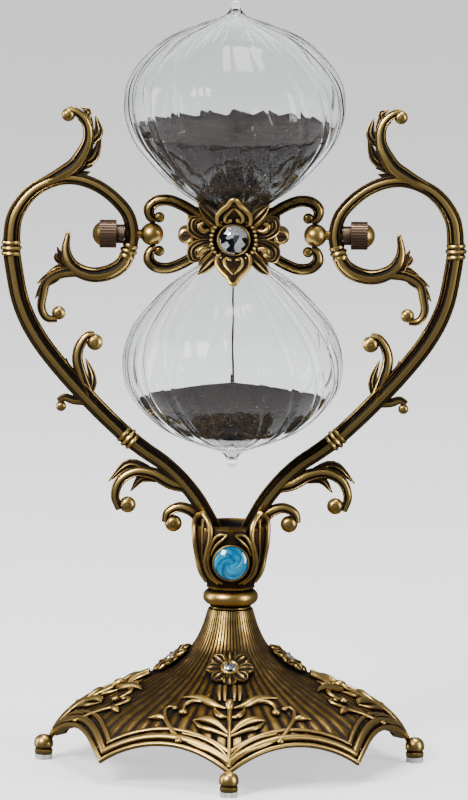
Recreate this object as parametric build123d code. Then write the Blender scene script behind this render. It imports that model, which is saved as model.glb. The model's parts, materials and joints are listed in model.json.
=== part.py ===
from build123d import *
import os
from math import atan2, cos, degrees, hypot, pi, sin

# Double-bulb hourglass that turns on a horizontal pivot in a heart-shaped cast scroll stand.
# Frame: +Z up, +X to the right of the front view, the front faces -Y.
# Origin: centre of the footprint, on the plane that the rubber feet rest on. Sizes in millimetres.

# ---- driving dimensions --------------------------------------------------------------------
PIVOT_Z = 186.4             # height of the turning axis above the table
FOOT_RADIUS = 65.4          # from the centre to each barrel foot
POINTS = 8                  # points of the skirt, every second one with a foot

SKIRT_TOP_Z = 54.4
SKIRT_TOP_R = 7.9
SKIRT_WALL = (1.8, 2.2)     # how far the inner face lies inside and below the outer one
SCALLOP_CREST_Z = 15.3      # height of the opening between two points
SCALLOP_R = 41.5            # radius of that opening's arch
NECK_WEB = 4.6              # solid web under the skirt's top
BARREL_R, BARREL_TOP_Z = 3.15, 8.0
PAD_R, PAD_H = 3.0, 1.8
PAD_STEM_R, PAD_STEM_H = 1.2, 2.5

NECK_RING_R, NECK_RING_H = 7.0, 1.5
COLLAR_R, COLLAR_H = 9.7, 5.5
CUP_TOP_Z = 84.0
BEZEL_Z, BEZEL_R = 72.4, 6.7
CABOCHON_R, CABOCHON_DEPTH = 5.8, 1.4
BEZEL_FACE_Y = 12.6         # distance of the bezel's front face from the centre

BOLT_R, BOLT_TOP_Z = 2.4, 72.0
BOLT_HEAD_ACROSS, BOLT_HEAD_H = 8.0, 3.6
WASHER_R, WASHER_H = 5.4, 1.0
ROSETTE_R, ROSETTE_T = 8.2, 1.4
ROSETTE_AT, ROSETTE_LEAN = 20.0, 36.0       # radius from the centre, and slope of the ridge there
ROSETTE_GEM_R, ROSETTE_GEM_T = 2.3, 1.3
FIT = 0.06                  # radial clearance of a shaft in its hole

PIN_R = 1.6                 # shank of the pivot screw
PIN_TIP_X = 29.6
THREAD_TRAVEL = 1.5         # how far the screw can back out and still hold the ball
KNOB_X, KNURL_X, DOME_X, DOME_TIP_X = 38.1, 40.9, 46.7, 49.3
SLEEVE_R, KNURL_R, DOME_R = 3.3, 4.9, 4.1
KNURL_TEETH = 30

BALL_X, BALL_R = 28.5, 4.0
BOSS_X, BOSS_R, BOSS_DEPTH = 16.6, 2.7, 5.5
SCREW_R, SCREW_HEAD_R, SCREW_HEAD_H = 1.0, 1.4, 1.1
BAR_HALF_H, BAR_DEPTH = 1.9, 3.0
BRACKET_TUBE_R = 2.0
SADDLE_R, SADDLE_HALF_H = 8.5, 3.2
CUSHION_R = 6.0
SPLIT_GAP = 0.03            # each bracket half stops this far from the split plane

MEDALLION_FACE_Y = 16.2
MEDALLION_R, MEDALLION_T = 8.3, 2.4
BEAD_RING_R, BEAD_H = 7.1, 0.6
CRYSTAL_R, CRYSTAL_T = 5.2, 2.0
PLATE_T = 1.5

GLASS_WALL = 1.1
NECK_R, THROAT_R = 3.6, 1.4  # outside and bore of the glass neck
BULB_TIP_H = 82.0           # half the length of the glass
SAND_CLEARANCE = 0.15
UPPER_SAND_H = 35.6         # level of the upper sand above the pivot
LOWER_SAND_H, LOWER_PEAK_H = 58.6, 52.0     # edge and peak of the heap below the pivot
HEAP_EDGE_R = 32.0
STREAM_R = 0.3

# Half outline of a bulb: radius and height above the pivot, from the neck to the tip.
BULB_OUTLINE = [(NECK_R, 3.3), (5.4, 6.0), (11.0, 10.1), (17.0, 13.8), (23.0, 18.5), (29.0, 24.7),
                (35.0, 32.4), (38.0, 40.3), (38.5, 46.4), (37.2, 53.6), (32.0, 61.5), (23.0, 69.0),
                (12.0, 73.6), (6.8, 75.0)]
# The drawn-out tip beyond it, up to the bead.
TIP_OUTLINE = [(6.8, 75.0), (3.2, 76.7), (1.6, 79.2)]
TIP_BEAD_R = 1.8

# Half outline of the skirt along a ridge: radius and height above the table.
SKIRT_OUTLINE = [(SKIRT_TOP_R, SKIRT_TOP_Z), (10.2, 47.2), (13.3, 41.4), (17.4, 37.4), (24.1, 32.8),
                 (32.4, 28.6), (41.3, 24.5), (51.1, 20.0), (57.0, 15.4), (61.2, 10.5), (65.0, 3.0)]

# Centre lines of the right arm casting (x, z), with the tube's radii spread evenly along each.
BAND_TOP = (77.6, 181.2)
BAND_LOW = (36.3, 114.6)
DOWN_AT_BAND_LOW = (-0.74, -0.67)
ARM_RING = [(77.6, 181.2), (76.9, 190.2), (74.6, 195.8), (70.8, 200.5), (66.0, 203.7), (59.7, 205.6),
            (53.2, 205.2), (46.7, 202.6), (41.0, 198.2), (36.9, 193.0), (35.4, 186.6), (36.2, 181.0)]
ARM_OUTER = [BAND_TOP, (76.7, 174.7), (74.8, 164.5), (72.2, 157.2), (69.0, 151.2), (64.6, 144.8),
             (56.8, 135.4), (46.6, 124.5), BAND_LOW]
ARM_LOWER = [BAND_LOW, (30.1, 110.0), (23.7, 105.6), (17.5, 99.8), (12.1, 93.1), (7.6, 85.5), (5.0, 80.5)]
HOOK = [(36.2, 181.0), (38.6, 176.0), (42.9, 173.0), (48.7, 171.9), (53.8, 173.3), (57.2, 176.3),
        (58.5, 180.7), (57.8, 186.0)]
DROP_SCROLL = [(53.6, 173.2), (60.2, 172.3), (65.0, 169.4), (66.4, 164.6), (66.9, 160.0),
               (65.0, 156.6), (61.4, 156.2)]
ACANTHUS = [(57.8, 205.6), (54.4, 210.0), (52.3, 214.2), (51.0, 218.6), (50.9, 223.1), (52.5, 226.8),
            (55.6, 229.2), (58.2, 229.6)]
MID_SCROLL = [(50.0, 128.2), (52.4, 134.8), (54.2, 141.6), (53.7, 146.2), (51.1, 150.2), (48.3, 150.9)]
MID_CURL = [(50.6, 127.6), (55.4, 127.7), (58.5, 128.6), (60.9, 127.3)]
BRANCH = [(16.0, 97.4), (21.2, 98.6), (27.2, 101.8), (33.5, 102.6), (38.8, 99.6), (40.8, 94.2),
          (39.3, 89.2)]
CUP_CURL = [(9.8, 84.6), (13.6, 88.6), (18.3, 90.1), (22.2, 88.2), (23.2, 84.8)]

# Bracket scroll, (x, height above the pivot), the same above and below the bar.
BRACKET_SCROLL = [(7.2, 1.6), (10.5, 5.0), (13.9, 7.7), (17.8, 10.1), (22.6, 11.9), (27.0, 11.5),
                  (29.5, 9.0), (29.0, 6.0), (27.0, 4.7)]


# ---- helpers --------------------------------------------------------------------------------
def lerp_list(values, u):
    """Value at u (0 to 1) of a list spread evenly over that range."""
    place = u * (len(values) - 1)
    low = min(int(place), len(values) - 2)
    return values[low] + (values[low + 1] - values[low]) * (place - low)


def tube(line, radii, stations, tangents=None):
    """Round bar along a curve in the XZ plane, thickening and thinning with the radii."""
    points = [(x, 0, z) for x, z in line]
    if tangents:
        path = Spline(*points, tangents=[(x, 0, z) for x, z in tangents])
    else:
        path = Spline(*points)
    rings = []
    for station in range(stations):
        u = station / (stations - 1)
        plane = Plane(origin=path @ u, x_dir=(0, 1, 0), z_dir=path % u)
        rings.append(plane * Circle(lerp_list(radii, u)))
    return loft(rings)


def ball(x, z, radius, y=0.0):
    """Solid ball at a point."""
    return Pos(x, y, z) * Sphere(radius)


def leaf(root, tip, width, thickness):
    """Pointed leaf blade in the XZ plane, from root to tip."""
    length = hypot(tip[0] - root[0], tip[1] - root[1])
    outline = make_face([
        ThreePointArc((0, 0), (length / 2, width / 2), (length, 0)),
        ThreePointArc((length, 0), (length / 2, -width / 2), (0, 0)),
    ])
    blade = extrude(outline, thickness / 2, both=True)
    turn = degrees(atan2(tip[1] - root[1], tip[0] - root[0]))
    return Pos(root[0], 0, root[1]) * (Rot(90, 0, 0) * (Rot(0, 0, turn) * blade))


def along_y(shape, x, y, z):
    """Puts a shape built along +Z so that it runs along -Y from (x, y, z)."""
    return Pos(x, y, z) * (Rot(90, 0, 0) * shape)


def along_x(shape, x, z=PIVOT_Z):
    """Puts a shape built along +Z so that it runs along +X from (x, 0, z)."""
    return Pos(x, 0, z) * (Rot(0, 90, 0) * shape)


def rod(radius, length):
    """Cylinder from the origin up +Z."""
    return Cylinder(radius, length, align=(Align.CENTER, Align.CENTER, Align.MIN))


def mirrored(shape):
    """The left-hand copy of a right-hand piece."""
    return mirror(shape, about=Plane.YZ)


def from_behind(shape):
    """The back copy of a front piece."""
    return Rot(0, 0, 180) * shape


def revolved(outline):
    """Solid of revolution about Z from a closed half outline of edges."""
    return revolve(make_face(outline), axis=Axis.Z)


# ---- stand ----------------------------------------------------------------------------------
def ridge_place(angle_deg, radius, z):
    """Location on the skirt at an angle round Z."""
    return Rot(0, 0, angle_deg) * Pos(radius, 0, z)


def foot_angles():
    """Angles of the four ridges that end in feet."""
    return [index * 90 for index in range(4)]


def build_skirt():
    """Hollow skirt: a turned shell with arches cut between its points and four barrel feet."""
    inward, downward = SKIRT_WALL
    outer = [(r, 0, z) for r, z in SKIRT_OUTLINE]
    inner = [(r - inward, 0, z - downward) for r, z in SKIRT_OUTLINE[1:]]
    web_z = SKIRT_TOP_Z - NECK_WEB
    inner[0] = (inner[1][0] - 4.0, 0, web_z)
    edges = [
        Spline(*outer),
        Line(outer[-1], inner[-1]),
        Spline(*reversed(inner)),
        Line(inner[0], (0, 0, web_z)),
        Line((0, 0, web_z), (0, 0, SKIRT_TOP_Z)),
        Line((0, 0, SKIRT_TOP_Z), outer[0]),
    ]
    skirt = revolved(edges)
    arch = along_x(rod(SCALLOP_R, FOOT_RADIUS * 2), 0, SCALLOP_CREST_Z - SCALLOP_R)
    for index in range(POINTS):
        skirt -= Rot(0, 0, (index + 0.5) * 360 / POINTS) * arch
    for angle in foot_angles():
        barrel = Pos(0, 0, PAD_H) * rod(BARREL_R, BARREL_TOP_Z - PAD_H)
        socket = Pos(0, 0, PAD_H) * rod(PAD_STEM_R + FIT, PAD_STEM_H + FIT)
        skirt = skirt + ridge_place(angle, FOOT_RADIUS, 0) * barrel
        skirt -= ridge_place(angle, FOOT_RADIUS, 0) * socket
    return skirt - rod(BOLT_R + FIT, SKIRT_TOP_Z)


def build_pads():
    """Four rubber pads with stems that push into the barrel feet."""
    pad = rod(PAD_R, PAD_H) + Pos(0, 0, PAD_H) * rod(PAD_STEM_R, PAD_STEM_H)
    return Compound(children=[ridge_place(angle, FOOT_RADIUS, 0) * pad for angle in foot_angles()])


def skirt_height(radius):
    """Height of the ridge at a radius, by straight lines between the outline's points."""
    for (r0, z0), (r1, z1) in zip(SKIRT_OUTLINE, SKIRT_OUTLINE[1:]):
        if r0 <= radius <= r1:
            return z0 + (z1 - z0) * (radius - r0) / (r1 - r0)
    return 0.0


def on_ridge(shape, angle_deg):
    """Puts a shape built on the XY plane on the ridge, square to its slope."""
    seat = skirt_height(ROSETTE_AT) + 0.5
    return ridge_place(angle_deg, ROSETTE_AT, seat) * (Rot(0, ROSETTE_LEAN, 0) * shape)


def build_rosettes():
    """Four round flower settings with a seat for the crystal."""
    flower = rod(ROSETTE_R, ROSETTE_T)
    flower -= Pos(0, 0, ROSETTE_T - ROSETTE_GEM_T / 2) * rod(ROSETTE_GEM_R + FIT, ROSETTE_GEM_T)
    return [on_ridge(flower, angle) for angle in foot_angles()]


def build_rosette_crystals():
    """Four small cut crystals, flat-backed, sitting in the flower settings."""
    gem = rod(ROSETTE_GEM_R, ROSETTE_GEM_T / 2)
    gem += Pos(0, 0, ROSETTE_GEM_T / 2) * Cone(
        ROSETTE_GEM_R, ROSETTE_GEM_R / 2, ROSETTE_GEM_T / 2,
        align=(Align.CENTER, Align.CENTER, Align.MIN))
    placed = Pos(0, 0, ROSETTE_T - ROSETTE_GEM_T / 2) * gem
    return Compound(children=[on_ridge(placed, angle) for angle in foot_angles()])


def build_neck_ring():
    """Thin washer-like ring between skirt and collar."""
    ring = rod(NECK_RING_R, NECK_RING_H) - rod(BOLT_R + FIT, NECK_RING_H)
    return Pos(0, 0, SKIRT_TOP_Z) * ring


def build_collar():
    """Fat half-round ring under the cup."""
    foot = SKIRT_TOP_Z + NECK_RING_H
    edge_r = COLLAR_R - COLLAR_H / 2
    collar = revolved([
        Line((0, 0, foot), (edge_r, 0, foot)),
        ThreePointArc((edge_r, 0, foot), (COLLAR_R, 0, foot + COLLAR_H / 2), (edge_r, 0, foot + COLLAR_H)),
        Line((edge_r, 0, foot + COLLAR_H), (0, 0, foot + COLLAR_H)),
        Line((0, 0, foot + COLLAR_H), (0, 0, foot)),
    ])
    return collar - Pos(0, 0, foot) * rod(BOLT_R + FIT, COLLAR_H)


def build_cup():
    """Cup that the arms grow from, with a round bezel at the front and at the back."""
    foot = SKIRT_TOP_Z + NECK_RING_H + COLLAR_H
    outer = [(8.6, foot + 1.6), (10.7, 68.0), (11.9, 74.7), (12.6, 80.0), (12.2, CUP_TOP_Z)]
    points = [(r, 0, z) for r, z in outer]
    cup = revolved([
        Line((0, 0, foot), (8.0, 0, foot)),
        Line((8.0, 0, foot), points[0]),
        Spline(*points),
        Line(points[-1], (0, 0, CUP_TOP_Z)),
        Line((0, 0, CUP_TOP_Z), (0, 0, foot)),
    ])
    bezel = along_y(rod(BEZEL_R, BEZEL_FACE_Y), 0, 0, BEZEL_Z)
    pocket = along_y(rod(CABOCHON_R + FIT, CABOCHON_DEPTH), 0, CABOCHON_DEPTH - BEZEL_FACE_Y, BEZEL_Z)
    cup += bezel + from_behind(bezel)
    cup -= pocket + from_behind(pocket)
    return cup - Pos(0, 0, foot) * rod(BOLT_R + FIT, BOLT_TOP_Z - foot + 1)


def build_cabochon():
    """Domed round stone in the front bezel."""
    floor_y = BEZEL_FACE_Y - CABOCHON_DEPTH
    dome_h = 2.0
    dome_r = (CABOCHON_R ** 2 + dome_h ** 2) / (2 * dome_h)
    stone = rod(CABOCHON_R, CABOCHON_DEPTH)
    cap = Pos(0, 0, CABOCHON_DEPTH + dome_h - dome_r) * Sphere(dome_r)
    stone += cap & (Pos(0, 0, CABOCHON_DEPTH / 2) * rod(CABOCHON_R, dome_h * 2))
    return along_y(stone, 0, -floor_y, BEZEL_Z)


def build_tie_bolt():
    """Hexagon-headed bolt that pulls cup, rings and skirt together from inside the base."""
    seat = SKIRT_TOP_Z - NECK_WEB - WASHER_H
    head = extrude(RegularPolygon(BOLT_HEAD_ACROSS / 2, 6, major_radius=False), BOLT_HEAD_H)
    bolt = Pos(0, 0, seat - BOLT_HEAD_H) * head + Pos(0, 0, seat) * rod(BOLT_R, BOLT_TOP_Z - seat)
    return bolt


def build_tie_washer():
    """Washer under the bolt's head."""
    washer = rod(WASHER_R, WASHER_H) - rod(BOLT_R + FIT, WASHER_H)
    return Pos(0, 0, SKIRT_TOP_Z - NECK_WEB - WASHER_H) * washer


# ---- arms (right hand) ------------------------------------------------------------------------
def build_arm(cup):
    """All sections of the right arm casting, each by its name, meeting face to face."""
    up, down = (0.0, 1.0), (0.0, -1.0)
    ring_end, back_along = (0.35, -0.94), (-0.35, 0.94)
    ring = tube(ARM_RING, [3.1, 2.8, 2.4, 2.2, 2.2, 2.3, 2.5], 15, [up, ring_end])
    ring -= along_x(rod(PIN_R + FIT, 12.0), 30.0)
    ring -= along_x(rod(SLEEVE_R + 0.5, 4.0), KNOB_X - 0.1)
    outer = tube(ARM_OUTER, [3.1, 3.1, 3.2, 3.2, 3.0], 12, [down, DOWN_AT_BAND_LOW])
    lower = tube(ARM_LOWER, [3.0, 2.8, 2.8, 2.7], 9, [DOWN_AT_BAND_LOW, (-0.4, -0.92)]) - cup
    hook = tube(HOOK, [2.5, 2.8, 2.6, 2.2, 0.9], 12, [ring_end, (-0.3, 0.95)])
    hook += leaf((57.6, 173.8), (61.4, 181.6), 2.4, 2.2)

    acanthus = tube(ACANTHUS, [3.2, 2.2, 1.8, 1.5, 1.2], 10) + ball(57.9, 227.9, 2.35)
    for tip in [(47.2, 226.0), (46.8, 221.4), (45.9, 217.0), (46.3, 213.6)]:
        acanthus += leaf((tip[0] + 6.4, tip[1] - 5.6), tip, 3.0, 2.6)
    drop = tube(DROP_SCROLL, [2.0, 1.7, 1.5, 1.2], 9) + ball(60.9, 158.4, 2.4)
    drop += leaf((64.6, 169.6), (69.4, 166.6), 2.2, 2.2)
    middle = tube(MID_SCROLL, [2.4, 2.0, 1.7, 1.3], 8) + ball(48.2, 148.2, 2.9)
    middle += leaf((53.4, 136.4), (58.0, 142.6), 2.4, 2.2)
    curl = tube(MID_CURL, [1.8, 1.5, 1.2], 6) + ball(59.9, 125.5, 1.8)
    branch = tube(BRANCH, [2.2, 2.4, 2.0, 1.7, 1.3], 9) + ball(36.4, 90.9, 2.9)
    branch += leaf((35.6, 101.8), (43.0, 98.8), 3.0, 2.4)
    cup_curl = tube(CUP_CURL, [2.2, 2.0, 1.7, 1.3], 8) + ball(20.3, 84.4, 3.0)
    return {
        "arm_ring": ring,
        "arm_outer": outer,
        "arm_lower": lower,
        "hook": hook,
        "acanthus_scroll": acanthus - ring,
        "drop_scroll": drop - hook,
        "middle_scroll": middle - outer - curl,
        "middle_curl": curl - outer,
        "branch_scroll": branch - lower,
        "cup_curl": cup_curl - cup - lower,
    }


# ---- pivot (right hand) -----------------------------------------------------------------------
def build_pivot_screw():
    """Screw with a domed head; its plain tip is the pivot in the bracket's ball."""
    height = DOME_TIP_X - DOME_X
    sphere_r = (DOME_R ** 2 + height ** 2) / (2 * height)
    dome = (Pos(0, 0, height - sphere_r) * Sphere(sphere_r)) & rod(DOME_R, height + 1)
    shank = along_x(rod(PIN_R, DOME_X - PIN_TIP_X), PIN_TIP_X)
    return shank + along_x(dome, DOME_X)


def build_thumb_knob():
    """Knurled nut with a plain sleeve on its inner side."""
    sleeve = along_x(rod(SLEEVE_R, KNURL_X - KNOB_X), KNOB_X)
    groove = rod(0.28, DOME_X - KNURL_X)
    knurl = along_x(rod(KNURL_R, DOME_X - KNURL_X), KNURL_X)
    for tooth in range(KNURL_TEETH):
        turn = tooth * 2 * pi / KNURL_TEETH
        knurl -= along_x(Pos(KNURL_R * cos(turn), KNURL_R * sin(turn), 0) * groove, KNURL_X)
    return sleeve + knurl - along_x(rod(PIN_R + FIT, DOME_X - KNOB_X), KNOB_X)


# ---- hourglass --------------------------------------------------------------------------------
def inset(points, depth):
    """Outline moved inwards by a depth, square to itself."""
    moved = []
    for index, (r, h) in enumerate(points):
        r0, h0 = points[max(index - 1, 0)]
        r1, h1 = points[min(index + 1, len(points) - 1)]
        length = hypot(r1 - r0, h1 - h0)
        moved.append((r - depth * (h1 - h0) / length, h + depth * (r1 - r0) / length))
    return moved


def bulb_points(depth, sign):
    """Bulb outline at a depth under the outer face, in the part's frame."""
    return [(r, 0, PIVOT_Z + sign * h) for r, h in inset(BULB_OUTLINE, depth)]


def solid_bulbs(depth, neck_r, tip_h):
    """Both bulbs as one turned solid, at a depth under the outer face of the glass."""
    upper, lower = bulb_points(depth, 1), bulb_points(depth, -1)
    upper[0] = (neck_r, 0, upper[0][2])
    lower[0] = (neck_r, 0, lower[0][2])
    top, bottom = (0, 0, PIVOT_Z + tip_h), (0, 0, PIVOT_Z - tip_h)
    return revolved([
        Line(bottom, lower[-1]),
        Spline(*reversed(lower)),
        Line(lower[0], upper[0]),
        Spline(*upper),
        Line(upper[-1], top),
        Line(top, bottom),
    ])


def build_glass():
    """Blown double bulb: one closed shell with a drawn-out tip and a bead at each end."""
    base, top = TIP_OUTLINE[0][1], TIP_OUTLINE[-1][1]
    tip = revolved([
        Spline(*[(r, 0, h) for r, h in TIP_OUTLINE]),
        Line((TIP_OUTLINE[-1][0], 0, top), (0, 0, top)),
        Line((0, 0, top), (0, 0, base)),
        Line((0, 0, base), (TIP_OUTLINE[0][0], 0, base)),
    ])
    tip += ball(0, BULB_TIP_H - TIP_BEAD_R, TIP_BEAD_R)
    shell = solid_bulbs(0, NECK_R, base) - solid_bulbs(GLASS_WALL, THROAT_R, base - GLASS_WALL)
    return shell + Pos(0, 0, PIVOT_Z) * tip + Pos(0, 0, PIVOT_Z) * mirror(tip, about=Plane.XY)


def build_sand():
    """Sand in the upper bulb, heap in the lower one and the stream that joins them."""
    depth = GLASS_WALL + SAND_CLEARANCE
    space = solid_bulbs(depth, THROAT_R - SAND_CLEARANCE, TIP_OUTLINE[0][1] - depth)
    wide, throat = 50.0, 2.0
    upper = space & (Pos(0, 0, PIVOT_Z + throat) * rod(wide, UPPER_SAND_H - throat))
    edge_h = LOWER_PEAK_H + (LOWER_SAND_H - LOWER_PEAK_H) * wide / HEAP_EDGE_R
    heap = revolved([
        Line((0, 0, -LOWER_PEAK_H), (wide, 0, -edge_h)),
        Line((wide, 0, -edge_h), (wide, 0, -BULB_TIP_H)),
        Line((wide, 0, -BULB_TIP_H), (0, 0, -BULB_TIP_H)),
        Line((0, 0, -BULB_TIP_H), (0, 0, -LOWER_PEAK_H)),
    ])
    lower = space & (Pos(0, 0, PIVOT_Z) * heap)
    stream = Pos(0, 0, PIVOT_Z - LOWER_PEAK_H) * rod(STREAM_R, LOWER_PEAK_H + throat)
    return upper, lower, stream


def build_cushion():
    """Soft sleeve between the glass neck and the bracket's saddle."""
    height = 2 * (SADDLE_HALF_H - 0.2)
    sleeve = rod(CUSHION_R, height) - rod(NECK_R + FIT, height)
    return Pos(0, 0, PIVOT_Z - height / 2) * sleeve


def build_bracket_half():
    """Front half of the bracket: saddle, bar, screw bosses and four scrolls, split at the axis plane."""
    half = Pos(0, 0, PIVOT_Z - SADDLE_HALF_H) * rod(SADDLE_R, 2 * SADDLE_HALF_H)
    bar_length = BOSS_X - SADDLE_R + 1
    for side in (1, -1):
        middle = side * (SADDLE_R - 1 + bar_length / 2)
        half += Pos(middle, 0, PIVOT_Z) * Box(bar_length, 2 * BAR_DEPTH, 2 * BAR_HALF_H)
        half += along_y(rod(BOSS_R, BOSS_DEPTH), side * BOSS_X, 0, PIVOT_Z)
        for up in (1, -1):
            line = [(x, up * h) for x, h in BRACKET_SCROLL]
            scroll = tube(line, [1.7, BRACKET_TUBE_R, BRACKET_TUBE_R, 1.4], 12) + ball(26.2, up * 5.8, 1.8)
            scroll = Pos(0, 0, PIVOT_Z) * scroll
            half += scroll if side > 0 else mirrored(scroll)
    for side in (1, -1):
        half -= ball(side * BALL_X, PIVOT_Z, BALL_R + SPLIT_GAP)
        half -= along_y(rod(SCREW_R + FIT, BOSS_DEPTH + 5), side * BOSS_X, 4, PIVOT_Z)
        half -= along_y(rod(SCREW_HEAD_R + FIT, 2), side * BOSS_X, SCREW_HEAD_H - BOSS_DEPTH, PIVOT_Z)
    half -= Pos(0, 0, PIVOT_Z - 5) * rod(CUSHION_R + SPLIT_GAP, 10)
    front = Pos(0, -25 - SPLIT_GAP, PIVOT_Z) * Box(100, 50, 60)
    return half & front


def build_clamp_screws():
    """Two screws that clamp the bracket halves together round the glass neck."""
    grip = BOSS_DEPTH - SCREW_HEAD_H
    screw = along_y(rod(SCREW_R, 2 * grip), 0, grip, 0)
    screw += along_y(rod(SCREW_HEAD_R, SCREW_HEAD_H - 0.1), 0, -grip, 0)
    slot = Pos(0, -BOSS_DEPTH, 0) * Box(2.4, 0.8, 0.45)
    screw -= slot
    return Compound(children=[Pos(side * BOSS_X, 0, PIVOT_Z) * screw for side in (1, -1)])


def build_pivot_ball():
    """Right-hand ball, gripped by the scroll ends, with a socket for the pivot screw."""
    socket_depth = BALL_X + BALL_R - PIN_TIP_X + 0.3
    return ball(BALL_X, PIVOT_Z, BALL_R) - along_x(rod(PIN_R + FIT, socket_depth), PIN_TIP_X - 0.3)


def heart_plate():
    """Heart with its point up, built on the XZ plane with its lobes at the bottom."""
    half_w, height, lobe_h = 5.8, 13.6, 4.4
    outline = make_face([
        ThreePointArc((0, 1.0), (half_w / 2, 0.3), (half_w, lobe_h)),
        ThreePointArc((half_w, lobe_h), (half_w / 2, height * 0.58), (0, height)),
        ThreePointArc((0, height), (-half_w / 2, height * 0.58), (-half_w, lobe_h)),
        ThreePointArc((-half_w, lobe_h), (-half_w / 2, 0.3), (0, 1.0)),
    ])
    return Rot(90, 0, 0) * extrude(outline, PLATE_T)


def build_medallion():
    """Front medallion: round bezel with a bead ring, two hearts, four spikes and side shells."""
    back_y = MEDALLION_T - MEDALLION_FACE_Y
    plate = along_y(rod(MEDALLION_R, MEDALLION_T), 0, back_y, 0)
    plate += along_y(rod(3.6, -SADDLE_R - back_y), 0, -SADDLE_R, 0)
    heart_lean = 38.0
    for flip in (0, 180):
        heart = Pos(0, -MEDALLION_FACE_Y + 1.9, 4.4) * (Rot(heart_lean, 0, 0) * heart_plate())
        heart -= along_y(rod(MEDALLION_R - 0.5, 30), 0, 0, 0)
        plate += Rot(0, flip, 0) * heart
    for turn in (45, 135, 225, 315):
        spike = leaf((5.0, 0), (17.5, 0), 4.4, PLATE_T)
        plate += Rot(0, turn, 0) * (Pos(0, back_y + PLATE_T / 2 - 0.2, 0) * spike)
    for side in (1, -1):
        for up in (1, -1):
            shell = along_y(rod(3.7, PLATE_T), side * 11.4, back_y + 0.6, up * 4.3)
            plate += shell
    bead_band = rod(MEDALLION_R - 0.1, BEAD_H) - rod(BEAD_RING_R, BEAD_H)
    plate += along_y(bead_band, 0, -MEDALLION_FACE_Y, 0)
    plate -= along_y(rod(CRYSTAL_R + FIT, 3), 0, CRYSTAL_T / 2 - MEDALLION_FACE_Y, 0)
    plate -= Pos(0, 0, -5) * rod(SADDLE_R + SPLIT_GAP, 10)
    return Pos(0, 0, PIVOT_Z) * plate


def build_crystal():
    """Front crystal: a cut stone with a flat table."""
    seat_y = CRYSTAL_T / 2 - MEDALLION_FACE_Y
    stone = rod(CRYSTAL_R, CRYSTAL_T / 2)
    stone += Pos(0, 0, CRYSTAL_T / 2) * Cone(
        CRYSTAL_R, CRYSTAL_R * 0.55, CRYSTAL_T / 2, align=(Align.CENTER, Align.CENTER, Align.MIN))
    return along_y(stone, 0, seat_y, PIVOT_Z)


# ---- assembly ---------------------------------------------------------------------------------
def build_nodes():
    """Every piece by its node name."""
    cup = build_cup()
    upper, lower, stream = build_sand()
    nodes = {
        "base_skirt": build_skirt(),
        "foot_pads": build_pads(),
        "rosette_crystals": build_rosette_crystals(),
        "neck_ring": build_neck_ring(),
        "collar_ring": build_collar(),
        "cup": cup,
        "tie_bolt": build_tie_bolt(),
        "tie_washer": build_tie_washer(),
        "front_cabochon": build_cabochon(),
        "back_cabochon": from_behind(build_cabochon()),
        "glass": build_glass(),
        "upper_sand": upper,
        "lower_sand": lower,
        "sand_stream": stream,
        "neck_cushion": build_cushion(),
        "front_bracket": build_bracket_half(),
        "clamp_screws": build_clamp_screws(),
        "front_medallion": build_medallion(),
        "front_crystal": build_crystal(),
    }
    nodes["rosettes"] = Compound(children=[r - nodes["base_skirt"] for r in build_rosettes()])
    nodes["back_bracket"] = from_behind(nodes["front_bracket"])
    nodes["back_medallion"] = from_behind(nodes["front_medallion"])
    nodes["back_crystal"] = from_behind(nodes["front_crystal"])
    right_hand = build_arm(cup)
    right_hand["pivot_screw"] = build_pivot_screw()
    right_hand["thumb_knob"] = build_thumb_knob()
    right_hand["pivot_ball"] = build_pivot_ball()
    for name, shape in right_hand.items():
        nodes["right_" + name] = shape
        nodes["left_" + name] = mirrored(shape)
    return nodes


os.makedirs("parts", exist_ok=True)
for node_name, node_shape in build_nodes().items():
    export_step(node_shape, f"parts/{node_name}.step")
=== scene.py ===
"""Turning hourglass in a cast scroll stand: the finished look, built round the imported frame."""

import json
import logging
import math
from dataclasses import dataclass, field
from enum import Enum
from typing import Callable, Sequence

import bmesh
import bpy
from mathutils import Matrix, Vector

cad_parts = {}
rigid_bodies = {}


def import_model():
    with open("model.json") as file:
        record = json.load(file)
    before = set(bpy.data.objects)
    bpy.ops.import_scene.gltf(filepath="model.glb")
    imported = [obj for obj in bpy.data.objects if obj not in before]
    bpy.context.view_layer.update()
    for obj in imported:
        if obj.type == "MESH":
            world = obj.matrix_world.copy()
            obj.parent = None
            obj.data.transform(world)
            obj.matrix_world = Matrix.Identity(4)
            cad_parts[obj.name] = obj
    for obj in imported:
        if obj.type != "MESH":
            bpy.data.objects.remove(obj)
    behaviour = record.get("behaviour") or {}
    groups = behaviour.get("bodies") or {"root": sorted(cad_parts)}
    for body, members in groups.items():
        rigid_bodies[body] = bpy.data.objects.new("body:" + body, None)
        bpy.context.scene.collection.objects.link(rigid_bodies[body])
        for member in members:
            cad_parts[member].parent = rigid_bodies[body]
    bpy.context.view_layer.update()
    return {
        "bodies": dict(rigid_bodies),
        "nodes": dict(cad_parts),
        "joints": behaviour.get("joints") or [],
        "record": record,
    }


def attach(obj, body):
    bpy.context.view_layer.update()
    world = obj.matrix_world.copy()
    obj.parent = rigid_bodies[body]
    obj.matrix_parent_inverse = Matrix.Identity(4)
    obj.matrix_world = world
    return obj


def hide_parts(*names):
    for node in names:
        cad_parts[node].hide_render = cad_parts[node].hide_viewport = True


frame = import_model()

LOG = logging.getLogger("hourglass")
MM = 0.001
TURN = 2 * math.pi
PIVOT_Z = 186.4
Point2 = tuple[float, float]
Point3 = tuple[float, float, float]


class Side(Enum):
    """Which hand of the stand a piece belongs to."""

    RIGHT = "right"
    LEFT = "left"


class Section(Enum):
    """Cross-sections that the scrollwork is cast with."""

    FLUTED = "fluted"
    LEAF = "leaf"
    REEDED = "reeded"


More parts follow.
